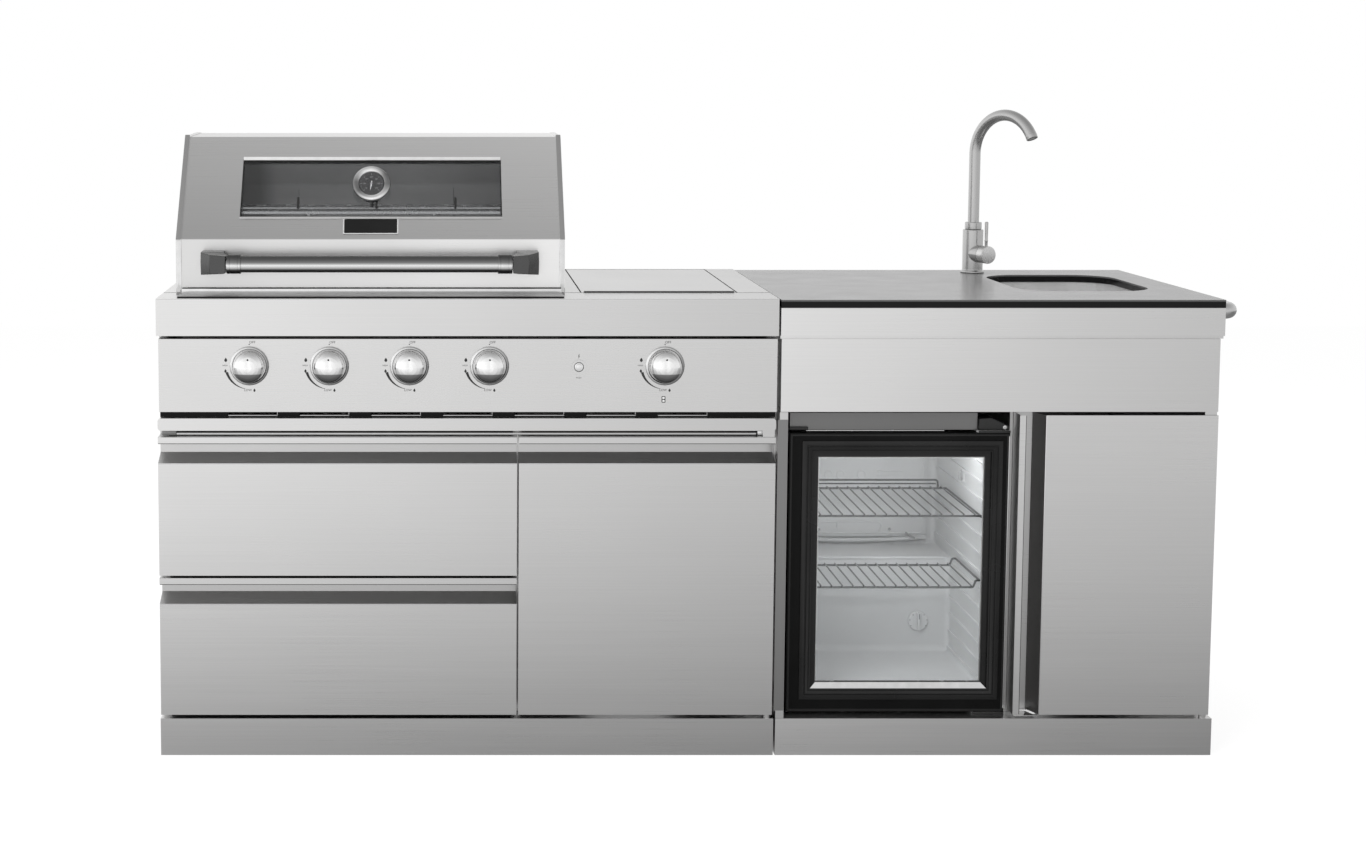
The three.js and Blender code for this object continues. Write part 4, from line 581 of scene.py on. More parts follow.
for finish, names in NODE_FINISHES.items():
    for name in names:
        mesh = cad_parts[name].data
        mesh.materials.clear()
        mesh.materials.append(finish)


# ---- Pieces: controls on the panel


def on_panel(x, z, out=0.0):
    """A point on the control panel's face, raised by `out` towards the cook."""
    return np.array([x, PANEL_FACE - out, z])


def cast_knob(name, x):
    """A cast knob: a plain skirt, a waist and a crowned face with a shallow finger groove across it. Radius r
    and height h follow a profile; on the crown the height loses groove(u) = depth exp(-(u / width)^2), where
    u is the distance from the upright middle line."""
    corners = np.array([
        (0.0, 5.0), (28.6, 5.0), (29.6, 6.6), (29.9, 10.5), (29.9, 22.6), (29.3, 24.2), (29.3, 25.0),
        (30.0, 26.0), (29.8, 28.0), (28.4, 31.0), (25.6, 34.6), (21.0, 37.8), (14.6, 40.2), (7.4, 41.5),
        (0.0, 41.9),
    ]) / 1000
    profile = rounded_profile(corners, 0.0012, 3)
    way = circle(72)
    radius = np.maximum(profile[:, :1], 1e-5)
    across, up = radius * way[:, 0], radius * way[:, 1]
    height = np.repeat(profile[:, 1:], len(way), axis=1)
    start, fade, depth, width = 0.036, 0.004, 0.0008, 0.0045  # of the groove
    crown = np.clip((height - start) / fade, 0, 1)
    height = height - crown * depth * np.exp(-((across / width) ** 2))
    points = on_panel(x, KNOB_Z) + np.stack([across, -height, up], -1)
    return skin(name, points, knob_metal, sharp=40)


def panel_ring(name, corners, soft, x, z, finish, sides, sharp):
    """A ring on the panel, turned from a closed section whose (radius, height) corners are in millimetres."""
    section = rounded_profile(np.array(corners) / 1000, soft)
    way = circle(sides)
    points = on_panel(x, z) + np.stack([
        section[:, :1] * way[:, 0], np.repeat(-section[:, 1:], sides, axis=1), section[:, :1] * way[:, 1],
    ], -1)
    return skin(name, points, finish, closed=True, sharp=sharp, flip=True)


# Painted reflection on the knobs: a dark crescent on their lower part and a bright dome above it
knob_metal = painted_reflection_ramp(
    "KnobPaintedReflection", 0.12, KNOB_Z,
    [(-30, 0.10), (-20, 0.20), (-12.4, 0.32), (-11.2, 0.95), (0, 1.0), (20, 1.0), (30, 0.8)],
)
BEZEL = [(31.9, 0.3), (31.9, 4.4), (33.2, 5.7), (35.2, 5.95), (37.0, 4.8), (37.9, 2.4), (37.9, 0.3)]
for number, x in enumerate(BURNER_X, 1):
    knob = cast_knob(f"KnobTurned{number}", x)
    add(knob, f"knob_{number}", "chrome", f"burner_knob_{number}")
    dot = lathe(
        f"KnobPointer{number}", [(0, 0), (1.7, 0), (1.7, 0.5), (1.1, 0.9), (0, 0.9)], 0.0003,
        on_panel(x, KNOB_Z + 0.0165, 0.0402), FORWARD, print_black, 20,
    )
    add(dot, f"knob_{number}", "black_enamel")
    # Painted highlight on each bezel: bright towards its upper left, painted shade towards its lower right
    ring_steel = painted_fans(
        f"BezelPaintedHighlight{number}", 0.92, 0.16, on_panel(x, KNOB_Z), RIGHT, UPWARD, math.radians(150), 0.30, 1.0
    )
    bezel = panel_ring(f"BezelPolished{number}", BEZEL, 0.0012, x, KNOB_Z, ring_steel, 96, 40)
    add(bezel, "island", "chrome")


def flat_shape(name, outline, place, finish, out=0.00025):
    """A thin printed shape on the panel: its outline in (x, z), raised a hair above the steel."""
    return plate(name, outline, on_panel(*place), RIGHT, UPWARD, out, finish)


def printed_arc(name, x):
    """A printed arc round a knob that tapers: its inner and outer edges lie at radius -+ width(t) / 2, and
    the width falls evenly to a tenth."""
    radius, widest, count = 0.0455, 0.0052, 28
    t = np.linspace(0, 1, count)
    a = np.radians(196 + (260 - 196) * t)
    width = widest * (1 - 0.9 * t)
    way = np.stack([np.cos(a), np.sin(a)], -1)
    edges = np.concatenate([way * (radius + width / 2)[:, None], way * (radius - width / 2)[:, None]])
    points = on_panel(x, KNOB_Z, 0.00025) + np.insert(edges, 1, 0.0, axis=1)
    faces = [[i, i + 1, count + i + 1, count + i] for i in range(count - 1)]
    return piece_from(name, points, faces, print_black, smooth=False)


def flame_outline(size):
    """A teardrop: half-width w(t) = 0.36 size sin(pi t)^0.8 (1.25 - 0.75 t) along its height t."""
    t = np.linspace(0.0, 1.0, 14)
    half = size * 0.36 * np.sin(np.pi * t) ** 0.8 * (1.25 - 0.75 * t)
    right = np.stack([half, t * size], -1)
    left = np.stack([-half[::-1], t[::-1] * size], -1)
    return np.concatenate([right, left[1:-1]])


def panel_word(word, size, x, z):
    """A printed word on the panel."""
    return lettering("Word", word, size, on_panel(x, z), RIGHT, UPWARD, print_black)


for number, x in enumerate(BURNER_X, 1):
    marks = [
        panel_word("OFF", 0.0068, x + 0.006, KNOB_Z + 0.0455),
        panel_word("LOW", 0.0062, x - 0.003, KNOB_Z - 0.0475),
        panel_word("HIGH", 0.0042, x - 0.047, KNOB_Z + 0.0005),
    ]
    marks += [
        flat_shape(f"{word}{number}", flame_outline(size), (x + dx, KNOB_Z + dz), print_black)
        for word, size, dx, dz in (
            ("FlameSmall", 0.0065, 0.0095, -0.0508), ("FlameTall", 0.0085, -0.0455, 0.0072),
            ("FlameLow", 0.0070, -0.0462, -0.0135),
        )
    ]
    marks += [
        flat_shape(f"DotOff{number}", circle(14, 0.0011), (x, KNOB_Z + 0.0415), print_black),
        printed_arc(f"ArcTapered{number}", x),
    ]
    add(joined(f"PanelMarks{number}", marks), "island", "black_enamel")

# The igniter: a polished collar, a domed button with a sunk ring, and a small printed spark beside it
IGNITER = (-0.247, 0.768)
COLLAR = [(9.4, 0.3), (9.4, 3.6), (10.4, 4.0), (12.2, 3.6), (13.7, 2.2), (13.7, 0.3)]
add(panel_ring("IgniterCollarRing", COLLAR, 0.0009, *IGNITER, chrome, 64, 35), "island", "chrome")
button = lathe("IgniterButtonDomed", [
    (0, -14), (8.8, -14), (8.9, 3.4), (8.2, 4.9), (6.4, 5.5), (6.2, 4.7), (5.2, 4.7), (5.0, 5.6), (0, 5.9),
], 0.0005, on_panel(*IGNITER), FORWARD, chrome)
add(button, "igniter", "chrome", "igniter_button")
SPARK = [(0.0, 4.6), (-1.5, 0.4), (-0.2, 0.6), (-0.9, -3.6), (1.6, 1.2), (0.3, 1.1), (1.3, 4.6)]
ignition = [
    flat_shape("SparkMark", np.array(SPARK) / 1000, (IGNITER[0], IGNITER[1] + 0.0195), print_black),
    panel_word("PUSH", 0.0042, IGNITER[0], IGNITER[1] - 0.0215),
]
add(joined("IgniterMarks", ignition), "island", "black_enamel")
cell_x = BURNER_X[4] - 0.002
cell = rounded_rectangle(0.0042, 0.0038, 0.0006)
cells = [
    flat_shape("CellFrame", rounded_rectangle(0.0075, 0.0125, 0.0015), (cell_x, 0.7045), print_black),
    flat_shape("CellUpper", cell, (cell_x, 0.7075), print_white, 0.0004),
    flat_shape("CellLower", cell, (cell_x, 0.7018), print_white, 0.0004),
]
add(joined("CellSymbol", cells), "island", "black_enamel")


# ---- Pieces: hood

SLOPE = math.radians(48.42)  # of the hood's face above level
UP_SLOPE = np.array([0.0, math.cos(SLOPE), math.sin(SLOPE)])
OFF_SLOPE = np.array([0.0, -math.sin(SLOPE), math.cos(SLOPE)])
WINDOW_MIDDLE = np.array([HOOD_MIDDLE, -0.1323, 1.1079])  # on the outer face of the slope
HANDLE_Y, HANDLE_Z = -0.278, 0.9645  # the bar's axis


def on_slope(x, up, out=0.0):
    """A point on the hood's sloping face: x from the middle, `up` along the slope, `out` square to it."""
    return WINDOW_MIDDLE + np.array([x, 0.0, 0.0]) + up * UP_SLOPE + out * OFF_SLOPE


def slope_plate(name, width, height, x, up, out, depth, finish, corner=0.001, edge=0.0004):
    """A rectangular plate that lies on the sloping face."""
    outline = rounded_rectangle(width, height, corner)
    return plate(name, outline, on_slope(x, up, out), RIGHT, UP_SLOPE, depth, finish, edge)


plate_black = coated("PlateBlack", 0.008, 0.35, pebbles=900.0, strength=0.05, specular=0.15)
steel_dull = brushed("SteelHemDull", 0.52, 0.36, ALONG_X)
gunmetal = plain_metal("PostGunmetal", 0.10, 0.26, scale=45.0)
# Painted reflection on the handle bar: dark top and bottom edges and a bright streak just below its axis
handle_steel = painted_reflection_ramp(
    "HandlePaintedReflection", 0.20, HANDLE_Z, [
        (-19, 0.01), (-14, 0.03), (-10, 0.12), (-6.5, 0.85), (-1.5, 0.95), (1.5, 0.45), (4, 0.24), (10, 0.17),
        (19, 0.04),
    ],
)


def handle_bar():
    """The bar and its two collars in one turned piece: each collar has two fine grooves and a rounded lip."""
    right = np.array([
        (16.0, 0.0), (16.0, 246.5), (16.2, 247.6), (17.9, 248.2), (18.5, 249.0), (18.5, 253.0),
        (17.9, 253.5), (18.5, 254.0), (18.5, 268.5), (17.9, 269.0), (18.5, 269.5), (18.5, 274.4),
        (17.6, 276.0), (0.0, 276.0),
    ]) / 1000
    left = right[1:][::-1] * [1, -1]
    profile = rounded_profile(np.concatenate([left, right]), 0.0004, 2)
    middle = (HOOD_MIDDLE, HANDLE_Y, HANDLE_Z)
    return turned("HandleBarTurned", profile, middle, RIGHT, handle_steel, 72, sharp=25)


add(handle_bar(), "hood", "chrome", "hood_handle_bar")


def handle_post(side):
    """A cast post with flat facets: rings of five points go from the foot on the hood, round the elbow to
    the nose behind the bar; the outer edge has a ridge that runs to the middle of the nose."""
    stations = [
        # outer (x, y), inner (x, y), half height, ridge forward
        ((328, -220.6), (285, -220.6), 22.5, 0.0), ((328, -236), (285, -232), 22.5, 0.0),
        ((328, -262), (286, -246), 22.0, 0.6), ((307, -293), (281, -259), 18.6, 1.4),
        ((277.5, -294.5), (277.5, -262), 16.6, 0.0),
    ]
    rings = np.array([
        [
            (xo, yo, half), (xo + ridge, yo - ridge, half * 0.1), (xo, yo, -half), (xi, yi, -half),
            (xi, yi, half),
        ]
        for (xo, yo), (xi, yi), half, ridge in stations
    ]) / 1000
    rings[..., 0] = HOOD_MIDDLE + side * rings[..., 0]
    rings[..., 2] += HANDLE_Z
    made = skin(f"HandlePost{'Right' if side > 0 else 'Left'}Cast", rings, gunmetal, sharp=10, flip=side < 0)
    bevel = made.modifiers.new("Edges", "BEVEL")
    bevel.width, bevel.segments, bevel.limit_method, bevel.angle_limit = 0.0011, 3, "ANGLE", math.radians(12)
    return made


for side, word in ((-1, "left"), (1, "right")):
    add(handle_post(side), "hood", "chrome", f"hood_handle_post_{word}")

# Thermometer: a rounded bezel on a housing that leans towards the cook, a dial under a lens, and a nut
TILT = math.radians(14)  # how far the housing leans out of the slope
GAUGE_OUT = math.cos(TILT) * OFF_SLOPE - math.sin(TILT) * UP_SLOPE
GAUGE_UP = math.cos(TILT) * UP_SLOPE + math.sin(TILT) * OFF_SLOPE


def on_dial(x, up, out):
    """A point on the leaning dial: x and `up` from its middle, `out` towards the cook."""
    return WINDOW_MIDDLE + np.array([x, 0, 0]) + up * GAUGE_UP + out * GAUGE_OUT


# Painted highlights on the gauge's bezel: bright towards its top and bottom, painted shade at its sides
gauge_painted_highlight = painted_fans("GaugePaintedHighlight", 0.92, 0.14, WINDOW_MIDDLE, RIGHT, GAUGE_UP, math.radians(105), 0.28)
bezel = lathe("GaugeBezelPolished", [
    (0, -4.5), (33.6, -4.5), (33.9, 8.4), (37.2, 9.2), (38.0, 12.2), (36.8, 15.9), (32.5, 17.8), (27.5, 16.9),
    (25.2, 14.9), (24.7, 12.6), (0, 12.6),
], 0.0016, WINDOW_MIDDLE, GAUGE_OUT, gauge_painted_highlight, 96)
add(bezel, "hood", "chrome", "hood_thermometer")
STEM = [(0, -70), (3.2, -70), (3.6, -14), (7.0, -14), (7.0, -7), (14, -7), (14, -4.2), (0, -4.2)]
stem = turned("GaugeStem", np.array(STEM) / 1000, WINDOW_MIDDLE, OFF_SLOPE, satin, 24)
add(stem, "hood", "chrome")
DIAL_DISC = np.array([(0, 12.5), (24.6, 12.5), (24.6, 13.1), (0, 13.1)]) / 1000
add(turned("GaugeDial", DIAL_DISC, WINDOW_MIDDLE, GAUGE_OUT, dial_face), "hood", "black_enamel")


def dial_marks():
    """Ticks at equal angles over 270 degrees, each a thin bar along its own radius, with numbers inside
    every fifth one, and a pointer."""

    def spoke(turn):
        """The way out from the middle at a turn from upright, and the way square to it."""
        return np.array([math.sin(turn), math.cos(turn)]), np.array([math.cos(turn), -math.sin(turn)])

    parts = []
    for i, angle in enumerate(np.radians(np.linspace(-135, 135, 31))):
        way, side = spoke(angle)
        inner, wide = (0.0184, 0.00034) if i % 5 == 0 else (0.0202, 0.00014)
        corners = ((inner, wide), (0.0222, wide), (0.0222, -wide), (inner, -wide))
        points = [on_dial(*(way * out + side * across), 0.0133) for out, across in corners]
        parts.append(piece_from(f"DialTick{i}", points, [[0, 1, 2, 3]], print_grey, smooth=False))
        if i % 5 == 0:
            parts.append(lettering(
                f"DialNumber{i}", str(50 + i // 5 * 50), 0.0040, on_dial(*way * 0.0142, 0.0132), RIGHT,
                GAUGE_UP, print_grey,
            ))
    way, side = spoke(math.radians(-172))
    outline = ((0.017, 0.0), (0.001, 0.0011), (-0.006, 0.0006), (-0.006, -0.0006), (0.001, -0.0011))
    hand = [on_dial(*(way * out + side * across), 0.0141) for out, across in outline]
    parts.append(piece_from("DialHand", hand, [[4, 3, 2, 1, 0]], print_white, smooth=False))
    return joined("DialMarks", parts)


add(dial_marks(), "hood", "black_enamel")
BOSS = [(0, 13.2), (2.6, 13.2), (2.4, 14.6), (0, 14.9)]
add(lathe("DialBoss", BOSS, 0.0006, WINDOW_MIDDLE, GAUGE_OUT, satin, 28), "hood", "chrome")
LENS = [(0, 15.0), (24.9, 15.0), (24.9, 15.5), (12, 16.2), (0, 16.4)]
add(lathe("GaugeLens", LENS, 0.002, WINDOW_MIDDLE, GAUGE_OUT, lens), "hood", "hood_window")


def hood_bar(name, x0, x1, low, high, finish, edge):
    """A bar across the hood between two distances from its middle, from (y, z) low to (y, z) high."""
    return block(name, (HOOD_MIDDLE + x0, *low), (HOOD_MIDDLE + x1, *high), finish, edge)


# Window trim: a bright drip lip along the top, a thin one at the foot, seals round the glass, and clips
trim = [
    hood_bar("LipTop", -0.2585, 0.2585, (-0.0895, 1.1578), (-0.0860, 1.1655), steel_bright, 0.0008),
    hood_bar("LipFoot", -0.2590, 0.2590, (-0.1892, 1.0472), (-0.1868, 1.0492), steel_bright, 0.0005),
]
add(joined("WindowLips", trim), "hood", "brushed_steel")
seals = [slope_plate("SealTop", 0.5165, 0.0026, 0, 0.0655, -0.0025, 0.0010, rubber)]
for x in (-0.2573, 0.2573):
    seals.append(slope_plate("SealSide", 0.0018, 0.142, x, -0.004, -0.0025, 0.0012, rubber))
add(joined("WindowSeals", seals), "hood", "black_enamel")
clips = [
    slope_plate("GlassClip", 0.0045, 0.027, x, -0.040, -0.0032, 0.0016, plastic)
    for x in (-0.1454, 0.0105, 0.167)
]
add(joined("GlassClips", clips), "hood", "black_enamel")

# Bare plate under the window: a dark field in a pale border, held by its own rim
plate_up = -0.1010
bare = [
    slope_plate("PlateBorder", 0.1090, 0.0400, 0, plate_up, 0.0003, 0.0012, plastic_pale, 0.003),
    slope_plate("PlateField", 0.1042, 0.0352, 0, plate_up, 0.0012, 0.0006, plate_black, 0.002),
]
add(joined("HoodPlateBare", bare), "hood", "chrome")

# Folded hems of the cheeks: a narrow strip each side of the slope
for side, word in ((-1, "Left"), (1, "Right")):
    hem = slope_plate(
        f"CheekHem{word}", 0.0095, 0.2670, side * 0.3760, -0.0012, 0.0016, 0.0008, steel_dull, 0.0008, 0.0003
    )
    add(hem, "hood", "brushed_steel")


# ---- Pieces: tap, sink and side rail

TAP = np.array([0.655, 0.280, 0.898])  # the foot of its column, on the stone
tap_steel = brushed("TapBrushed", 0.52, 0.22, (700.0, 700.0, 12.0), spread=0.04)
tap_face = brushed("TapFaceSpun", 0.72, 0.30, (260.0, 260.0, 260.0), spread=0.06)

tap_column = lathe("TapColumn", [
    (0, -58), (16, -58), (16, -28), (24, -28), (24, -16.2), (17, -16.2), (17, 0.3), (25.3, 0.3), (25.5, 2.6),
    (25.0, 4.6), (22.3, 6.0), (22.0, 7.4), (22.0, 94.0), (21.2, 95.0), (9.0, 95.0), (9.0, 106.5), (0, 106.5),
], 0.0009, TAP, UPWARD, tap_steel, 80, 3)
VALVE_TURN = math.radians(-70.4)  # the side valve's direction, from the right towards the cook
VALVE_WAY = np.array([math.cos(VALVE_TURN), math.sin(VALVE_TURN), 0.0])
VALVE_FOOT = TAP + [0, 0, 0.043]
SLEEVE = [(0, 4), (18.9, 4), (18.9, 39.2), (18.2, 39.9), (0, 39.9)]
sleeve = lathe("TapSleeve", SLEEVE, 0.0005, VALVE_FOOT, VALVE_WAY, tap_steel, 64, 3)
add(joined("TapColumnBrushed", [tap_column, sleeve]), "island", "chrome", "tap_body")
CARTRIDGE = [(0, 40.4), (18.3, 40.4), (19.0, 41.2), (19.0, 58.9), (18.2, 60.0), (0, 60.2)]
cartridge = lathe("TapCartridgeTurned", CARTRIDGE, 0.0008, VALVE_FOOT, VALVE_WAY, tap_face)
add(cartridge, "tap_cartridge", "chrome", "tap_cartridge")


def tap_lever():
    """A slim stick that leaves the cartridge's rim: a ball at its foot, a neck, two rings and a rounded tip.
    Its line is read from the solid it stands for, from the lowest to the highest end."""
    co = corners_of(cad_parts["tap_lever"].data)
    middle = co.mean(0)
    way = np.linalg.svd(co - middle, full_matrices=False)[2][0]
    way *= np.sign(way[2])
    along = (co - middle) @ way
    foot = middle + along.min() * way
    length = along.max() - along.min()
    tip = length * 1000
    profile = [
        (0, 0.0), (4.4, 0.6), (5.0, 4.6), (4.6, 8.0), (2.7, 10.5), (3.2, 12.0), (3.4, 22.0), (3.9, 22.6),
        (3.9, 24.0), (3.4, 24.6), (3.6, 40.0), (3.9, tip - 1.8), (3.0, tip - 0.3), (0, tip - 0.1),
    ]
    return lathe("TapLeverStick", profile, 0.0008, foot, way, tap_steel, 32, 3)


add(tap_lever(), "tap_lever", "chrome", "tap_lever")


def tap_spout():
    """A swan neck: a straight rise, then an arc of 155 degrees, p(a) = centre + R (-cos a, sin a) in the
    upright plane that the spout points in, with a collar at the foot and an insert at the mouth."""
    turn = math.radians(-58)
    way = np.array([math.cos(turn), math.sin(turn), 0.0])
    foot = TAP + [0, 0, 0.0953]
    radius, top = 0.085, 1.256 - 0.012
    centre = foot + way * radius
    centre[2] = top - radius
    a = np.radians(np.linspace(0, 155, 49))
    arch = centre - np.cos(a)[:, None] * radius * way + np.sin(a)[:, None] * radius * np.array(UPWARD)
    rise = foot + np.linspace(0.0, 1.0, 12)[:, None] * (arch[0] - foot)
    path = np.concatenate([rise[:-1], arch])
    pipe = tube("SpoutPipe", path, 0.012, tap_steel, 40)
    rim = [(9.6, 0.3), (17.6, 0.3), (18.0, 1.2), (18.0, 14.6), (17.2, 16.0), (11.8, 16.2)]
    collar = lathe("SpoutCollar", rim, 0.0007, foot, UPWARD, tap_steel, 56, 3)
    end = path[-1] - path[-2]
    end /= np.linalg.norm(end)
    rim = [(11.9, -9.6), (12.2, -9.0), (12.0, -1.4), (11.4, -0.4), (0, -0.4)]
    mouth = lathe("SpoutMouth", rim, 0.0004, path[-1], end, tap_steel, 40, 2)
    rim = [(0, -0.5), (9.4, -0.5), (9.4, 0.1), (8.6, 0.4), (7.4, -0.1), (0, -0.1)]
    filter_face = lathe("SpoutInsert", rim, 0.0003, path[-1], end, plastic, 32, 2)
    return joined("SpoutSwanNeck", [pipe, collar, mouth, filter_face])


add(tap_spout(), "tap_spout", "chrome", "tap_spout")

# Sink: a strainer with slots in its dish, drawn as black plates of painted shade
SINK_X, SINK_Y, SINK_FLOOR = 0.7895, 0.0445, 0.7245  # the waste's middle, at the bowl's floor
strainer = lathe("SinkStrainer", [
    (0, -88), (20, -88), (20, -20), (38, -20), (38, -6), (25, -6), (25, -1.5), (30, 0.4), (39, 0.9),
    (39.8, 1.9), (39, 2.3), (33, 2.2), (25.5, 0.6), (22.5, -2.2), (6, -2.6), (5.2, -0.4), (3.5, 3.4),
    (4.8, 6.0), (4.2, 7.6), (0, 8),
], 0.0012, (SINK_X, SINK_Y, SINK_FLOOR), UPWARD, steel_bright, 72, 3)
add(strainer, "island", "chrome", "sink_waste")
slot = rounded_rectangle(0.011, 0.0034, 0.0016)
slots = []
for angle in np.arange(8) * math.pi / 4:
    way = np.array([math.cos(angle), math.sin(angle), 0.0])
    middle = np.array([SINK_X, SINK_Y, SINK_FLOOR - 0.00205]) + way * 0.0145
    slots.append(plate("StrainerSlot", slot, middle, way, np.cross(UPWARD, way), 0.0003, dark_gap))
add(joined("StrainerSlots", slots), "island", "black_enamel")


def side_rail():
    """The towel rail: a thick tube that leaves a flange, bends, runs back along the end wall and returns."""
    wall, thick = 0.997, 0.016
    level, out = 0.882 - thick, wall + 0.065 - thick
    y0, y1 = FRONT + 0.100, FRONT + 0.500
    foot = wall + 0.0005
    path = rounded_line([(foot, y0, level), (out, y0, level), (out, y1, level), (foot, y1, level)], 0.036, 14)
    dense = [path[0]]
    for p, q in zip(path, path[1:]):
        n = max(1, int(np.linalg.norm(q - p) / 0.02))
        dense.extend(p + (q - p) * t for t in np.linspace(0, 1, n + 1)[1:])
    bar = tube("RailTube", dense, thick, satin, 40)
    flange = [(0, 0.4), (21.6, 0.4), (22.0, 1.2), (21.4, 3.4), (17.5, 4.3), (0, 4.3)]
    feet = [lathe("RailFlange", flange, 0.001, (wall, y, level), RIGHT, satin, 48, 3) for y in (y0, y1)]
    return joined("SideRailBent", [bar, *feet])


add(side_rail(), "island", "chrome", "side_rail")


# ---- Pieces: fridge

CAVITY = np.array([[0.2015, -0.2275, 0.118], [0.5615, 0.172, 0.6043]])  # low and high corner of the room
HUMP_FRONT, HUMP_TOP = 0.034, 0.318  # y and z of the step over the compressor
APERTURE = np.array([[0.2245, 0.136], [0.5505, 0.586]])  # (x, z) corners of the door's opening
DOOR_FACE = -0.275  # y of the door's outer face
door_ridge = coated("DoorRidgeSatin", 0.010, 0.25, pebbles=2500.0, strength=0.02, specular=0.3)
liner_gloss = coated("LinerGlossy", 0.80, 0.30, pebbles=1100.0, strength=0.03, spread=0.03)
wire_chrome = plain_metal("WireZincBright", 0.30, 0.20, scale=400.0)


def mitred_frame(name, low, high, profile, face, finish):
    """A moulding round a rectangular opening in the plane y = face: each (out, forward) pair of its profile
    gives a rectangle that is `out` larger on every side and `forward` nearer to the viewer."""
    (x0, z0), (x1, z1) = low, high
    rings = [
        [(x0 - out, face - forward, z0 - out), (x1 + out, face - forward, z0 - out),
         (x1 + out, face - forward, z1 + out), (x0 - out, face - forward, z1 + out)]
        for out, forward in profile
    ]
    return skin(name, np.array(rings), finish, closed=True, sharp=15)


RIDGES = np.array([
    (0.3, -4.8), (10.8, -4.8), (11.2, 0.9), (13.6, 1.5), (14.4, 0.5), (15.4, 0.5), (16.2, 1.4), (20.8, 2.6),
    (21.6, 1.2), (22.8, 1.2), (23.6, 2.4), (31.0, 3.4), (32.6, 2.6), (33.4, 0.2), (12.6, 0.2), (12.6, -5.0),
    (0.3, -5.0),
]) / 1000
ridges = mitred_frame("DoorRidges", APERTURE[0], APERTURE[1], RIDGES[::-1], DOOR_FACE, door_ridge)
OUTER = np.array([(-1.6, 0.2), (-1.6, 1.1), (-2.4, 1.9), (-5.6, 1.9), (-6.4, 1.1), (-6.4, 0.2)]) / 1000
outer = mitred_frame("DoorOuterBead", (0.1665, 0.078), (0.5965, 0.634), OUTER[::-1], DOOR_FACE, door_ridge)
add(joined("DoorFrameMouldings", [ridges, outer]), "fridge_door", "black_door")


def sill_strip():
    """The bright bevel below the glass: a sloping band whose ends are mitred at 45 degrees."""
    (x0, z0), (x1, _) = APERTURE
    fall = 0.0105
    lower, upper, back = z0 - fall, z0 + 0.0006, DOOR_FACE + 0.0047
    points = [
        (x0 - fall, DOOR_FACE - 0.0008, lower), (x1 + fall, DOOR_FACE - 0.0008, lower),
        (x1, back - 0.001, upper), (x0, back - 0.001, upper),
        (x0 - fall, DOOR_FACE + 0.002, lower), (x1 + fall, DOOR_FACE + 0.002, lower),
        (x1, back, upper), (x0, back, upper),
    ]
    faces = [(0, 1, 2, 3), (7, 6, 5, 4), (0, 4, 5, 1), (1, 5, 6, 2), (2, 6, 7, 3), (3, 7, 4, 0)]
    return piece_from("GlassSillBright", points, faces, steel_bright, smooth=False)


add(sill_strip(), "fridge_door", "black_door")
GLASS_EDGE = np.array([(-2.4, -11.0), (-0.2, -11.0), (-0.2, -9.6), (-2.4, -9.6)]) / 1000
glass_edge = mitred_frame("GlassEdgeLine", APERTURE[0], APERTURE[1], GLASS_EDGE[::-1], DOOR_FACE, satin)
add(glass_edge, "fridge_door", "black_door")
# A bright strip of painted highlight on the fridge door's right edge
door_edge_highlight = block("DoorEdgeHighlight", (0.5932, -0.2768, 0.086), (0.5960, -0.2752, 0.628), steel_bright, 0.0004)
add(door_edge_highlight, "fridge_door", "black_door")
top_strip = block("FridgeTopStrip", (0.2000, -0.2660, 0.6362), (0.4700, -0.2630, 0.6386), satin, 0.0006)
add(top_strip, "island", "fridge_liner")
cap = block("CapLeftMoulded", (0.1668, -0.2680, 0.6384), (0.2040, -0.2250, 0.6450), plastic, 0.0012)
add(cap, "island", "fridge_liner")
covers = [
    block("HingeCover", (0.5342, -0.2764, low), (0.5968, -0.2752, high), plastic, 0.0004)
    for low, high in ((0.6343, 0.6392), (0.0736, 0.0779))
]
add(joined("HingeCovers", covers), "island", "fridge_liner")
hinge_outline = np.array([(0, 0), (59.5, 0), (60.0, 7.5), (24.0, 24.5), (0.8, 22.5)]) / 1000
hinge_foot = (0.5362, -0.236, 0.6390)
hinge_cap = plate("HingeCapWedge", hinge_outline, hinge_foot, RIGHT, UPWARD, 0.034, plastic, edge=0.0015)
HEAD = [(0, 0), (4.2, 0), (4.2, 1.6), (1.2, 2.0), (0, 1.2)]
hinge_screw = lathe("HingeScrew", HEAD, 0.0005, (0.587, -0.2698, 0.6445), FORWARD, satin, 24, 3)
add(joined("HingeCapMoulded", [hinge_cap, hinge_screw]), "island", "fridge_liner")
bay_steel = brushed("BaySteel", 0.24, 0.45, (120.0, 500.0, 120.0))
bay_outline = rounded_rectangle(0.3660, 0.0334, 0.001)
bay_panel = plate("BayPanelBrushed", bay_outline, (0.3520, -0.2605, 0.6553), RIGHT, UPWARD, 0.0015, bay_steel)
add(bay_panel, "island", "inner_steel")


def cove(name, start, end, a, b, radius, finish):
    """A moulded inside corner: a bar whose section is the corner, a step along each wall, and between them
    the hollow arc p(t) = m - r (a cos t + b sin t) about the middle m = corner + r (a + b)."""
    start, end, a, b = (np.array(given, float) for given in (start, end, a, b))
    t = np.linspace(0, np.pi / 2, 9)[:, None]
    arc = radius * (a + b) - radius * (a * np.cos(t) + b * np.sin(t))
    section = np.concatenate([np.zeros((1, 3)), arc])
    flip = bool(np.dot(np.cross(a, b), end - start) > 0)
    return skin(name, np.array([start + section, end + section]), finish, sharp=40, flip=flip)


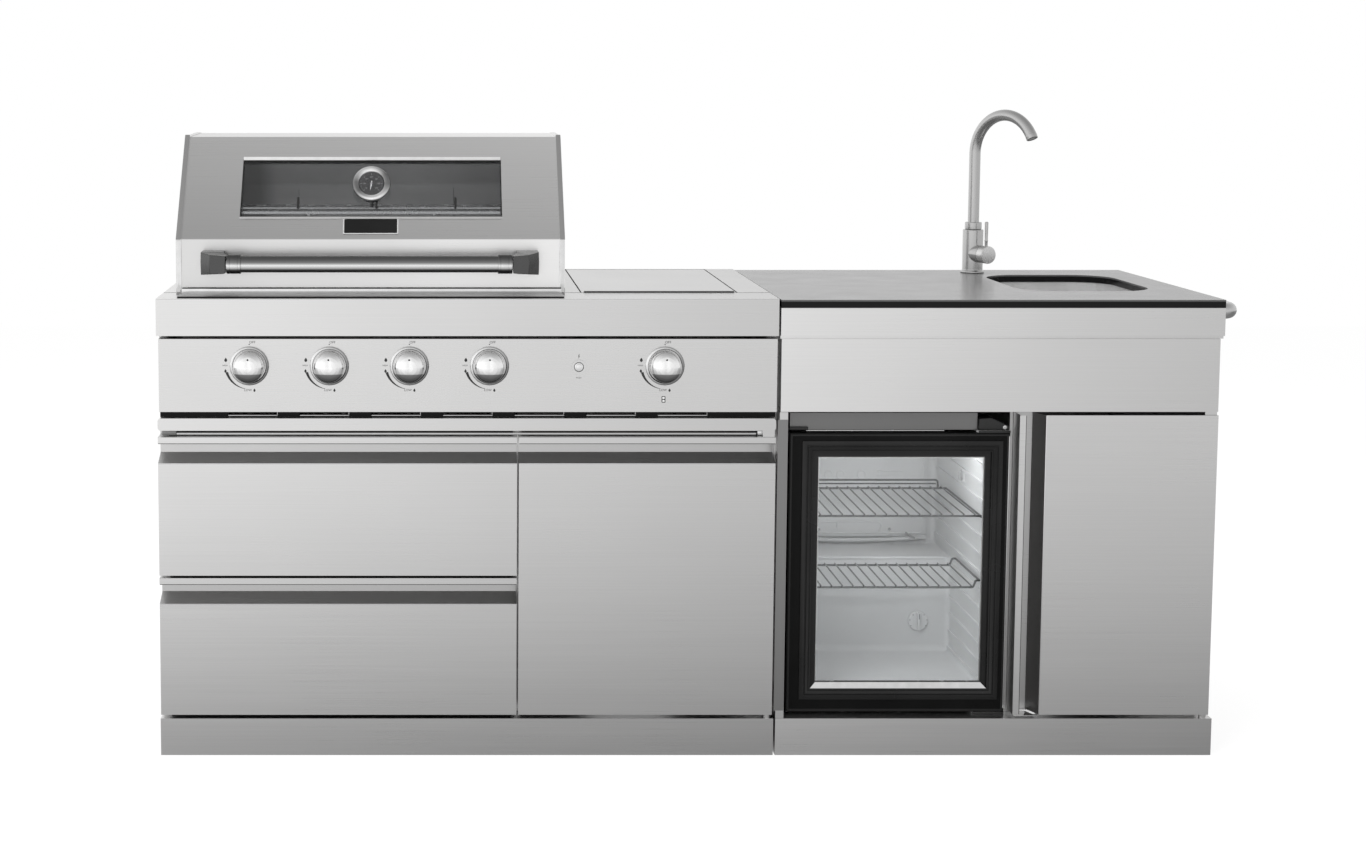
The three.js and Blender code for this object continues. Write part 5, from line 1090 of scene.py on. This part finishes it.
def liner_coves():
    """The soft inside corners of the moulded liner: at the hump's foot and sides, along the floor and up
    the back."""
    (x0, y0, z0), (x1, y1, z1) = CAVITY + [[0.0002], [-0.0002]]
    hump, top, r = HUMP_FRONT - 0.0002, HUMP_TOP + 0.0002, 0.012
    left = (-1, 0, 0)
    lines = [
        ((x0, hump, z0), (x1, hump, z0), UPWARD, FORWARD),
        ((x1, hump, z0), (x1, hump, HUMP_TOP), FORWARD, left),
        ((x0, hump, z0), (x0, hump, HUMP_TOP), FORWARD, RIGHT),
        ((x1, y0, z0), (x1, hump, z0), left, UPWARD),
        ((x0, y0, z0), (x0, hump, z0), RIGHT, UPWARD),
        ((x1, y1, top), (x1, y1, z1), FORWARD, left),
        ((x0, y1, top), (x1, y1, top), UPWARD, FORWARD),
    ]
    return [cove("Cove", *line, r, liner_gloss) for line in lines]


nose_line = [(x, HUMP_FRONT + 0.001, HUMP_TOP - 0.001) for x in (0.2150, 0.5480)]
nose = tube("NoseBead", nose_line, 0.0035, liner_gloss, 16)
add(joined("LinerCoves", liner_coves() + [nose]), "island", "fridge_liner")


def evaporator():
    """The cold plate on the back wall: a rounded sheet with a raised border, pressed rings and channels,
    three screws, and a drip lip below it whose edge sags as a parabola, z = -s (1 - (2t - 1)^2)."""
    face = CAVITY[1, 1] - 0.008
    middle, size = (0.3740, 0.4650), (0.330, 0.262)
    foot = (middle[0], face + 0.004, middle[1])
    outline = rounded_rectangle(*size, 0.012)
    sheet = plate("Sheet", outline, foot, RIGHT, UPWARD, 0.003, liner_gloss, edge=0.0012)
    border = rounded_rectangle(size[0] - 0.016, size[1] - 0.016, 0.008)
    path = np.column_stack([middle[0] + border[:, 0], np.full(len(border), face), middle[1] + border[:, 1]])
    parts = [sheet, tube("Border", path, 0.0016, liner_gloss, 10, closed=True)]
    for x in (0.326, 0.3517, 0.3973):
        ring = circle(24, 0.0085)
        path = np.column_stack([x + ring[:, 0], np.full(24, face + 0.0006), 0.470 + ring[:, 1]])
        parts.append(tube("Ring", path, 0.0014, liner_gloss, 8, closed=True))
    channels = (
        [(0.430, 0.478), (0.486, 0.478)], [(0.430, 0.470), (0.486, 0.470)],
        [(0.346, 0.354), (0.346, 0.366), (0.436, 0.366), (0.444, 0.358), (0.436, 0.345), (0.400, 0.345)],
        [(0.346, 0.366), (0.312, 0.366)],
    )
    for line in channels:
        path = rounded_line([(x, face + 0.0004, z) for x, z in line], 0.006, 6)
        parts.append(tube("Channel", path, 0.0016, liner_gloss, 10))
    head = [(0, 0), (3.6, 0), (3.4, 1.4), (1.2, 1.9), (1.0, 0.9), (0, 0.9)]
    for x, z in ((0.3065, 0.3500), (0.460, 0.3500), (0.500, 0.3820)):
        parts.append(lathe("Screw", head, 0.0004, (x, face + 0.001, z), FORWARD, satin, 24, 3))
    t = np.linspace(0, 1, 33)
    sag = 0.007 * (1 - (2 * t - 1) ** 2)
    lip = np.column_stack([0.212 + 0.325 * t, np.full(33, face - 0.004), 0.3345 - sag])
    parts.append(tube("Lip", lip, 0.0042, liner_gloss, 14))
    clip = [(0.494, face - 0.004, 0.344), (0.500, face - 0.013, 0.339), (0.512, face - 0.011, 0.333)]
    parts.append(tube("Clip", rounded_line(clip, 0.004, 5), 0.0024, plastic_pale, 10))
    return parts


add(joined("EvaporatorPressed", evaporator()), "island", "fridge_liner")


def wire_shelf(name, node, drop):
    """A wire shelf in the room of the solid it stands for: cross wires at an even pitch whose ends wrap over
    a front and a back rod, side rods, and an upright rail at the back. With a drop, the deck hangs below its
    side rods, and the ends of the front and back rods turn up to them."""
    low, high = (np.array(corner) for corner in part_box(node))
    r, fine = 0.0022, 0.0016
    deck = low[2] + r + fine
    x0, x1, y0, y1 = low[0] + r, high[0] - r, low[1] + r + fine, high[1] - r - fine
    shoulder = deck + drop
    parts = []
    for y in (y0, y1):
        line = [(x0, y, deck), (x1, y, deck)]
        if drop:
            line = [
                (x0, y, shoulder), (x0 + 0.007, y, shoulder), (x0 + 0.012, y, deck), (x1 - 0.012, y, deck),
                (x1 - 0.007, y, shoulder), (x1, y, shoulder),
            ]
        parts.append(tube("Rod", rounded_line(line, 0.004, 6), r, wire_chrome, 14))
    for x in (x0, x1):
        parts.append(tube("Side", [(x, y0, shoulder), (x, y1, shoulder)], r, wire_chrome, 14))
    inset, pitch, top = 0.016 if drop else 0.012, 0.0216, deck + r + fine
    start, end = x0 + inset, x1 - inset
    for x in np.linspace(start, end, round((end - start) / pitch) + 1):
        line = [(x, y0 - r - fine * 0.9, deck - 0.001), (x, y0 - 0.001, top), (x, y1, top)]
        parts.append(tube("Wire", rounded_line(line, 0.0025, 5), fine, wire_chrome, 10))
    if not drop:
        left, right, level = x0 + 0.018, x1 - 0.018, high[2] - r
        rail = [(left, y1, deck), (left, y1, level), (right, y1, level), (right, y1, deck)]
        parts.append(tube("Rail", rounded_line(rail, 0.006, 6), r, wire_chrome, 14))
        back = [(x0 + 0.004, y1, deck + 0.010), (x1 - 0.022, y1, deck + 0.010)]
        parts.append(tube("BackRod", back, fine, wire_chrome, 10))
    return joined(name, parts)


add(wire_shelf("ShelfUpperWires", "fridge_shelf_upper", 0.0), "island", "chrome", "fridge_shelf_upper")
add(wire_shelf("ShelfLowerWires", "fridge_shelf_lower", 0.014), "island", "chrome", "fridge_shelf_lower")

DIAL = np.array([0.495, HUMP_FRONT, 0.182])  # the thermostat's axis on the step


def thermostat():
    """The thermostat's round knob: a rounded disc with a raised grip across it, a pointer and a ring of dots
    on the liner round it."""
    rim = [(0, 0.4), (20.6, 0.4), (21.2, 1.4), (21.0, 5.4), (18.8, 7.6), (0, 8.0)]
    grip, pointer = np.array([0.0032, 0, 0]), np.array([0.0006, 0, 0])  # their half widths
    low, high = DIAL + [0, -0.0150, -0.0185], DIAL + [0, -0.0072, 0.0185]
    foot, tip = DIAL + [0, -0.0153, 0.0060], DIAL + [0, -0.0146, 0.0170]
    parts = [
        lathe("Disc", rim, 0.0012, DIAL, FORWARD, liner_gloss),
        block("Grip", low - grip, high + grip, liner_gloss, 0.0024),
        block("Pointer", foot - pointer, tip + pointer, print_black, 0.0002),
    ]
    dot = [(0, 0), (0.0009, 0), (0.0009, 0.0005), (0, 0.0005)]
    for angle in np.radians(np.arange(-120, 121, 40)):
        foot = DIAL + [0.0182 * math.sin(angle), -0.0076, 0.0182 * math.cos(angle)]
        parts.append(turned("Dot", dot, foot, FORWARD, print_black, 12))
    return joined("ThermostatTurned", parts)


add(thermostat(), "fridge_dial", "fridge_liner", "fridge_dial")
bend = [(x, -0.060, z) for x, z in ((0.5612, 0.520), (0.5530, 0.520), (0.5530, 0.502), (0.5585, 0.500))]
hook = tube("Hook", rounded_line(bend, 0.004, 6), 0.0022, plastic_pale, 12)
hook_pad = block("HookPad", (0.5590, -0.071, 0.498), (0.5613, -0.049, 0.526), liner_gloss, 0.0008)
add(joined("LinerHook", [hook, hook_pad]), "island", "fridge_liner")


# ---- Pieces: bands, seams and hems of the sheet metal, with strips of painted shade and highlight

VENTS = -0.461 + 0.139 * np.arange(-3, 4)  # x of the seven vent slots
painted_shade_black = coated("PaintedShadeBlack", 0.006, 0.5, pebbles=800.0, strength=0.05, specular=0.2)
gap_grey = plain_metal("SeamGrey", 0.16, 0.5)
steel_ledge_shade = brushed("SteelHem", 0.50, 0.34, ALONG_X)
steel_shade = brushed("SteelShaded", 0.30, 0.42, UPRIGHT)


def pierced(name, x_cuts, z_cuts, holes, face, depth, finish):
    """A sheet with rectangular holes: cuts in x and z make a grid of cells, each kept cell has a front and a
    back, and a wall on every side where its neighbour is open."""
    nx, nz = len(x_cuts), len(z_cuts)
    x, z = np.meshgrid(x_cuts, z_cuts, indexing="ij")
    front = np.stack([x, np.full_like(x, face), z], -1).reshape(-1, 3)
    kept = np.ones((nx - 1, nz - 1), bool)
    kept[tuple(np.transpose(holes))] = False
    i, k = np.nonzero(kept)
    a, b = i * nz + k, (i + 1) * nz + k
    c, d, back = b + 1, a + 1, nx * nz
    faces = [np.stack([a, b, c, d], -1), np.stack([d, c, b, a], -1) + back]
    around = np.pad(kept, 1)
    for p, q, di, dk in ((a, b, 0, -1), (b, c, 1, 0), (c, d, 0, 1), (d, a, -1, 0)):
        bare = ~around[i + 1 + di, k + 1 + dk]
        faces.append(np.stack([q, p, p + back, q + back], -1)[bare])
    points = np.concatenate([front, front + [0, depth, 0]])
    return piece_from(name, points, np.concatenate(faces).tolist(), finish, smooth=False)


# The vent band under the control panel: a black sheet of painted shade, with a bright strip of painted light
# in each slot
slot_edges = np.sort(np.concatenate([VENTS - 0.048, VENTS + 0.048]))
slot_cells = [(i, 1) for i in range(1, 14, 2)]
vent_band = pierced(
    "VentBandSlotted", [-1.0575, *slot_edges, 0.1355], [0.6677, 0.6697, 0.6777, 0.6797], slot_cells, -0.2892,
    0.0006, painted_shade_black,
)
add(vent_band, "island", "black_enamel")
slits = [
    block("Slit", (x - 0.0475, -0.2888, 0.6701), (x + 0.0475, -0.2880, 0.6719), satin, 0.0003) for x in VENTS
]
add(joined("VentSlitPaintedLight", slits), "island", "brushed_steel")
# Under the rail: a light strip of painted light in the shaded gap, and a bracket at each end, the left in
# painted shade and the right as a painted highlight
lower_band = [
    block("LightStrip", (-1.0270, -0.2840, 0.6318), (0.1000, -0.2828, 0.6362), satin, 0.0004),
    block("BracketLeft", (-1.0548, -0.2845, 0.6312), (-1.0274, -0.2800, 0.6400), steel_shade, 0.0008),
    block("BracketRight", (0.1022, -0.2845, 0.6312), (0.1322, -0.2800, 0.6400), steel_bright, 0.0008),
]
add(joined("RailUndersideBand", lower_band), "island", "black_enamel")

# Pull rails of the fronts: a hem line under each lip and a bright strip of painted highlight where the face
# starts again


def pull_lines(body, hem, edge):
    """The two lines of a pull rail, each from an (x, z) low to an (x, z) high on the fronts' face."""
    lines = []
    looks = ("Hem", hem, 0.0003, gap_grey), ("Edge", edge, 0.0004, steel_bright)
    for name, (low, high), rise, finish in looks:
        foot, top = (low[0], FRONT - rise, low[1]), (high[0], FRONT + 0.0004, high[1])
        lines.append(block(name, foot, top, finish, 0.0003))
    add(joined(f"PullLines_{body}", lines), body, "brushed_steel")


for body, x0, x1, top in (
    ("drawer_upper", -1.061, -0.3655, 0.6305), ("drawer_lower", -1.061, -0.3655, 0.3532),
    ("gas_door", -0.362, 0.135, 0.6305),
):
    hem = (x0 + 0.0006, top - 0.0130), (x1 - 0.0006, top - 0.0117)
    pull_lines(body, hem, ((x0 + 0.0010, top - 0.0524), (x1 - 0.0010, top - 0.0508)))
pull_lines("cupboard_door", ((0.6182, 0.0820), (0.6195, 0.6730)), ((0.6572, 0.0820), (0.6588, 0.6730)))
# A black strip of painted shadow in the gap between the fridge and the cupboard door
gap_shadow = block("CupboardGapShadow", (0.6080, -0.2598, 0.0900), (0.6186, -0.2573, 0.6640), rubber, 0.0006)
add(gap_shadow, "island", "black_enamel")
cheek_outline = rounded_rectangle(0.0192, 0.5755, 0.0008)
bay_cheek = plate(
    "BayCheekShaded", cheek_outline, (0.1482, FRONT + 0.0001, 0.3775), RIGHT, UPWARD, 0.0005, steel_shade
)
add(bay_cheek, "island", "brushed_steel")
low, high = (0.6085, -0.3030, 0.0775), (0.6560, -0.2640, 0.0790)
add(block("HingeBracketFoot", low, high, steel_bright, 0.0005), "island", "brushed_steel")

# Worktop: a seam behind the front border, a bright arris line of painted highlight, the seal round the side
# burner's cover, and a dark lip of painted shade on the cover's front


def on_worktop(name, x0, x1, near, far, low, high, finish, edge):
    """A strip along the worktop, from x0 to x1 and from y = near to y = far, low and high above its face."""
    return block(name, (x0, near, WORKTOP + low), (x1, far, WORKTOP + high), finish, edge)


seams = [
    on_worktop("SeamRight", -0.2690, 0.1370, -0.1868, -0.1832, -0.0002, 0.0002, gap_grey, 0.0001),
    on_worktop("SeamLeft", -1.0610, -1.0330, -0.1868, -0.1832, -0.0002, 0.0002, gap_grey, 0.0001),
    on_worktop("Arris", -1.0610, 0.1370, -0.3053, -0.3047, -0.0014, -0.0004, steel_bright, 0.0003),
]
add(joined("WorktopSeams", seams), "island", "brushed_steel")
edge = rounded_rectangle(0.311, 0.5235, 0.006)
path = np.column_stack([edge[:, 0] - 0.081, edge[:, 1] + 0.0786, np.full(len(edge), 0.8972)])
add(tube("CoverSeamSeal", path, 0.0022, rubber, 12, closed=True), "island", "black_enamel")
lip = on_worktop("CoverFrontLip", -0.2300, 0.0680, -0.1822, -0.1806, -0.0010, 0.0030, gap_grey, 0.0005)
add(lip, "side_burner_cover", "brushed_steel")

# Rim of the firebox before the hood: an upright strip under a black line of painted shade, a ledge in darker
# steel as painted shade, and its nose painted black as shade
rim = [
    on_worktop("Strip", -1.0210, -0.2765, -0.2262, -0.2248, 0.0010, 0.0120, steel_bright, 0.0006),
    on_worktop("Line", -1.0200, -0.2775, -0.2258, -0.2246, 0.0118, 0.0134, painted_shade_black, 0.0004),
    on_worktop("Ledge", -1.0225, -0.2750, -0.2880, -0.2262, 0.0002, 0.0030, steel_ledge_shade, 0.0006),
    on_worktop("Nose", -1.0225, -0.2750, -0.2888, -0.2878, 0.0002, 0.0027, painted_shade_black, 0.0004),
]
add(joined("FireboxRimFolded", rim), "island", "inner_steel")

# Inside the hood: a lined back with two seams, with painted shade darkening its left end
hood_lining = Finish("HoodLiningPaintedShade")
across = hood_lining.parts(hood_lining.place)["X"]
stain = hood_lining.ranged(hood_lining.noise(6.0, 4.0, (1.0, 1.0, 3.0)), 0.85, 1.1)
# painted shade: the lining darker at its left end
lining_tone = hood_lining.mixed(hood_lining.ranged(across, 0.0, 1.0, -0.905, -0.865), grey(0.045), grey(0.13))
hood_lining.set(
    Base_Color=hood_lining.scaled(lining_tone, stain), Metallic=0.3,
    Roughness=hood_lining.ranged(hood_lining.noise(80.0), 0.38, 0.5),
)
LINING = np.array([(0.2312, 0.930), (0.2302, 1.040), (0.2285, 1.090), (0.2240, 1.0995), (0.1930, 1.1400)])
section = np.concatenate([LINING, LINING[::-1] + [0.0008, 0.0]])
ends = [np.insert(section, 0, HOOD_MIDDLE + x, axis=1) for x in (-0.371, 0.371)]
lining = [skin("Back", ends, hood_lining.material, sharp=20)]
for x in (-0.4853, -0.8200):
    lining.append(block("Seam", (x, 0.2286, 0.940), (x + 0.0015, 0.2306, 1.088), gap_grey, 0.0004))
add(joined("HoodInnerLining", lining), "hood", "inner_steel")

# Behind the glass: a guard rail over the rack's front edge, and two folds along the hood's back, painted
# paler than the lining as highlights
fold_painted_highlight = coated("FoldPaintedHighlight", 0.46, 0.35, pebbles=500.0, strength=0.04, spread=0.12)
fold_painted_light = coated("FoldPaintedLight", 0.26, 0.40, pebbles=500.0, strength=0.04, spread=0.15)
REST = np.array([HOOD_MIDDLE, -0.150, 1.0652])  # the rail's middle
guard = [tube("Rod", [REST - [0.300, 0, 0], REST + [0.300, 0, 0]], 0.0019, steel_bright, 14)]
for x in (-0.29, 0.29):
    guard.append(tube("Post", [REST + [x, 0, -0.0092], REST + [x, 0, 0]], 0.0015, satin, 10))
add(joined("RackGuardRail", guard), "island", "chrome")
folds = [
    hood_bar("FoldUpper", -0.365, 0.365, (0.2255, 1.0394), (0.2300, 1.0493), fold_painted_highlight, 0.0015),
    hood_bar("FoldLower", -0.228, 0.365, (0.2265, 1.0000), (0.2308, 1.0234), fold_painted_light, 0.0015),
]
add(joined("HoodBackFolds", folds), "hood", "inner_steel")

# Folded hems at the ends of the hood's band
for side, word in ((-1, "Left"), (1, "Right")):
    foot = (HOOD_MIDDLE + side * 0.3752, -0.2214, 0.9555)
    outline = rounded_rectangle(0.0100, 0.1015, 0.0008)
    hem = plate(f"BandHem{word}", outline, foot, RIGHT, UPWARD, 0.0007, steel_bright, 0.0003)
    add(hem, "hood", "brushed_steel")


# ---- Floor, light and camera

FLOOR_GLOW, GLOW_STRENGTH = 0.75, 1.08  # share of the floor that glows white for the eye, and its brightness
CEILING = 0.50  # brightness that mirrors see overhead
SOFT_LIGHT = 0.75  # brightness of the even light from all round
NEAR_FLOOR, MID_FLOOR = 0.34, 0.80  # brightness of the floor in mirrors, at the object and 2 m before it


def floor_finish():
    """A pale floor that shows the object's shadow in a white studio: part of it takes the light, and the
    rest glows white for the eye. Mirrors see a glow painted on the floor, with painted shade near the
    object that brightens towards the lamps in front, and painted light that falls off from left to right.
    Neither glow adds light to the object."""
    f = Finish("StudioFloor")
    f.set(Base_Color=(0.94, 0.94, 0.94, 1), Roughness=0.9, Specular_IOR_Level=0.0)
    rays = f.node("ShaderNodeLightPath").outputs
    mirror = f.math("MAXIMUM", rays["Is Glossy Ray"], rays["Is Transmission Ray"])
    at = f.parts(f.place)
    ahead = f.math("MULTIPLY", at["Y"], -1.0)
    near = f.ranged(ahead, NEAR_FLOOR, MID_FLOOR, 0.35, 2.4)
    far = f.ranged(ahead, 0.0, 1.0 - MID_FLOOR, 2.4, 6.0)
    fall = f.ranged(at["X"], 1.10, 0.78, -1.6, 2.2)
    floor_light = f.math("MULTIPLY", f.math("ADD", near, far), fall)
    seen = f.math("MULTIPLY", rays["Is Camera Ray"], GLOW_STRENGTH)
    strength = f.math("ADD", seen, f.math("MULTIPLY", mirror, floor_light))
    share = f.math("ADD", f.math("MULTIPLY", rays["Is Camera Ray"], FLOOR_GLOW), mirror)
    glow = f.node("ShaderNodeEmission", {"Color": (1, 1, 1, 1), "Strength": strength}).outputs[0]
    return f.show(f.node("ShaderNodeMixShader", {0: share, 1: f.shader.outputs[0], 2: glow}).outputs[0])


FLOOR = rounded_rectangle(16.0, 14.0, 0.5)
plate("StudioFloorPlate", FLOOR, (0.0, 0.0, -0.02), RIGHT, BACK, 0.02, floor_finish())

world = bpy.data.worlds.new("StudioWorld")
bpy.context.scene.world = world
sky = Tree(world)
backdrop = sky.nodes["Background"]
backdrop.inputs["Color"].default_value = (1, 1, 1, 1)
rays = sky.node("ShaderNodeLightPath").outputs
way = sky.parts(sky.node("ShaderNodeTexCoord").outputs["Generated"])
# Mirrors see white round the horizon that falls off towards the ceiling; the diffuse light is even.
ceiling = sky.ranged(way["Z"], 1.0, CEILING, 0.25, 0.95)
side = sky.ranged(way["X"], 1.08, 0.80, -0.5, 0.6)
mirror = sky.math("MAXIMUM", rays["Is Glossy Ray"], rays["Is Transmission Ray"])
in_mirrors = sky.math("MULTIPLY", mirror, sky.math("MULTIPLY", ceiling, side))
elsewhere = sky.math("MULTIPLY", sky.math("SUBTRACT", 1.0, mirror), SOFT_LIGHT)
strength = sky.math("MAXIMUM", rays["Is Camera Ray"], sky.math("ADD", in_mirrors, elsewhere))
sky.put(backdrop.inputs["Strength"], strength)


def lamp(name, place, aim, width, height, power):
    """A soft rectangular lamp that faces a point."""
    data = bpy.data.lights.new(name, "AREA")
    data.shape, data.size, data.size_y, data.energy = "RECTANGLE", width, height, power
    made = bpy.data.objects.new(name, data)
    bpy.context.scene.collection.objects.link(made)
    made.location = place
    made.visible_glossy = False
    way = Vector(aim) - Vector(place)
    made.rotation_euler = way.to_track_quat("-Z", "Y").to_euler()
    return made


lamp("SoftLampFrontLeft", (-2.6, -3.4, 3.4), (-0.2, 0.0, 0.6), 2.6, 2.0, 95)
lamp("SoftLampFridge", (0.38, -0.20, 0.592), (0.38, 0.10, 0.25), 0.30, 0.03, 0.46)
lamp("SoftLampHood", (HOOD_MIDDLE, -0.02, 1.190), (HOOD_MIDDLE, 0.26, 1.08), 0.60, 0.04, 2.2)
lamp("SoftLampTop", (0.3, -0.4, 3.8), (0.0, 0.0, 0.8), 3.2, 2.2, 60)

CAMERA_TILT = math.radians(5.4045)  # the camera looks this much below level
camera_data = bpy.data.cameras.new("PhotoCamera")
camera_data.lens = 55.98
camera_data.sensor_width = 36.0
camera_data.shift_x = 0.18
camera_data.shift_y = -0.11
camera_data.clip_end = 100.0
camera = bpy.data.objects.new("PhotoCamera", camera_data)
bpy.context.scene.collection.objects.link(camera)
camera.location = (-0.5204, -4.3675, 1.3174)
camera.rotation_euler = (math.pi / 2 - CAMERA_TILT, 0.0, 0.0)
bpy.context.scene.camera = camera
bpy.context.scene.view_settings.view_transform = "Standard"
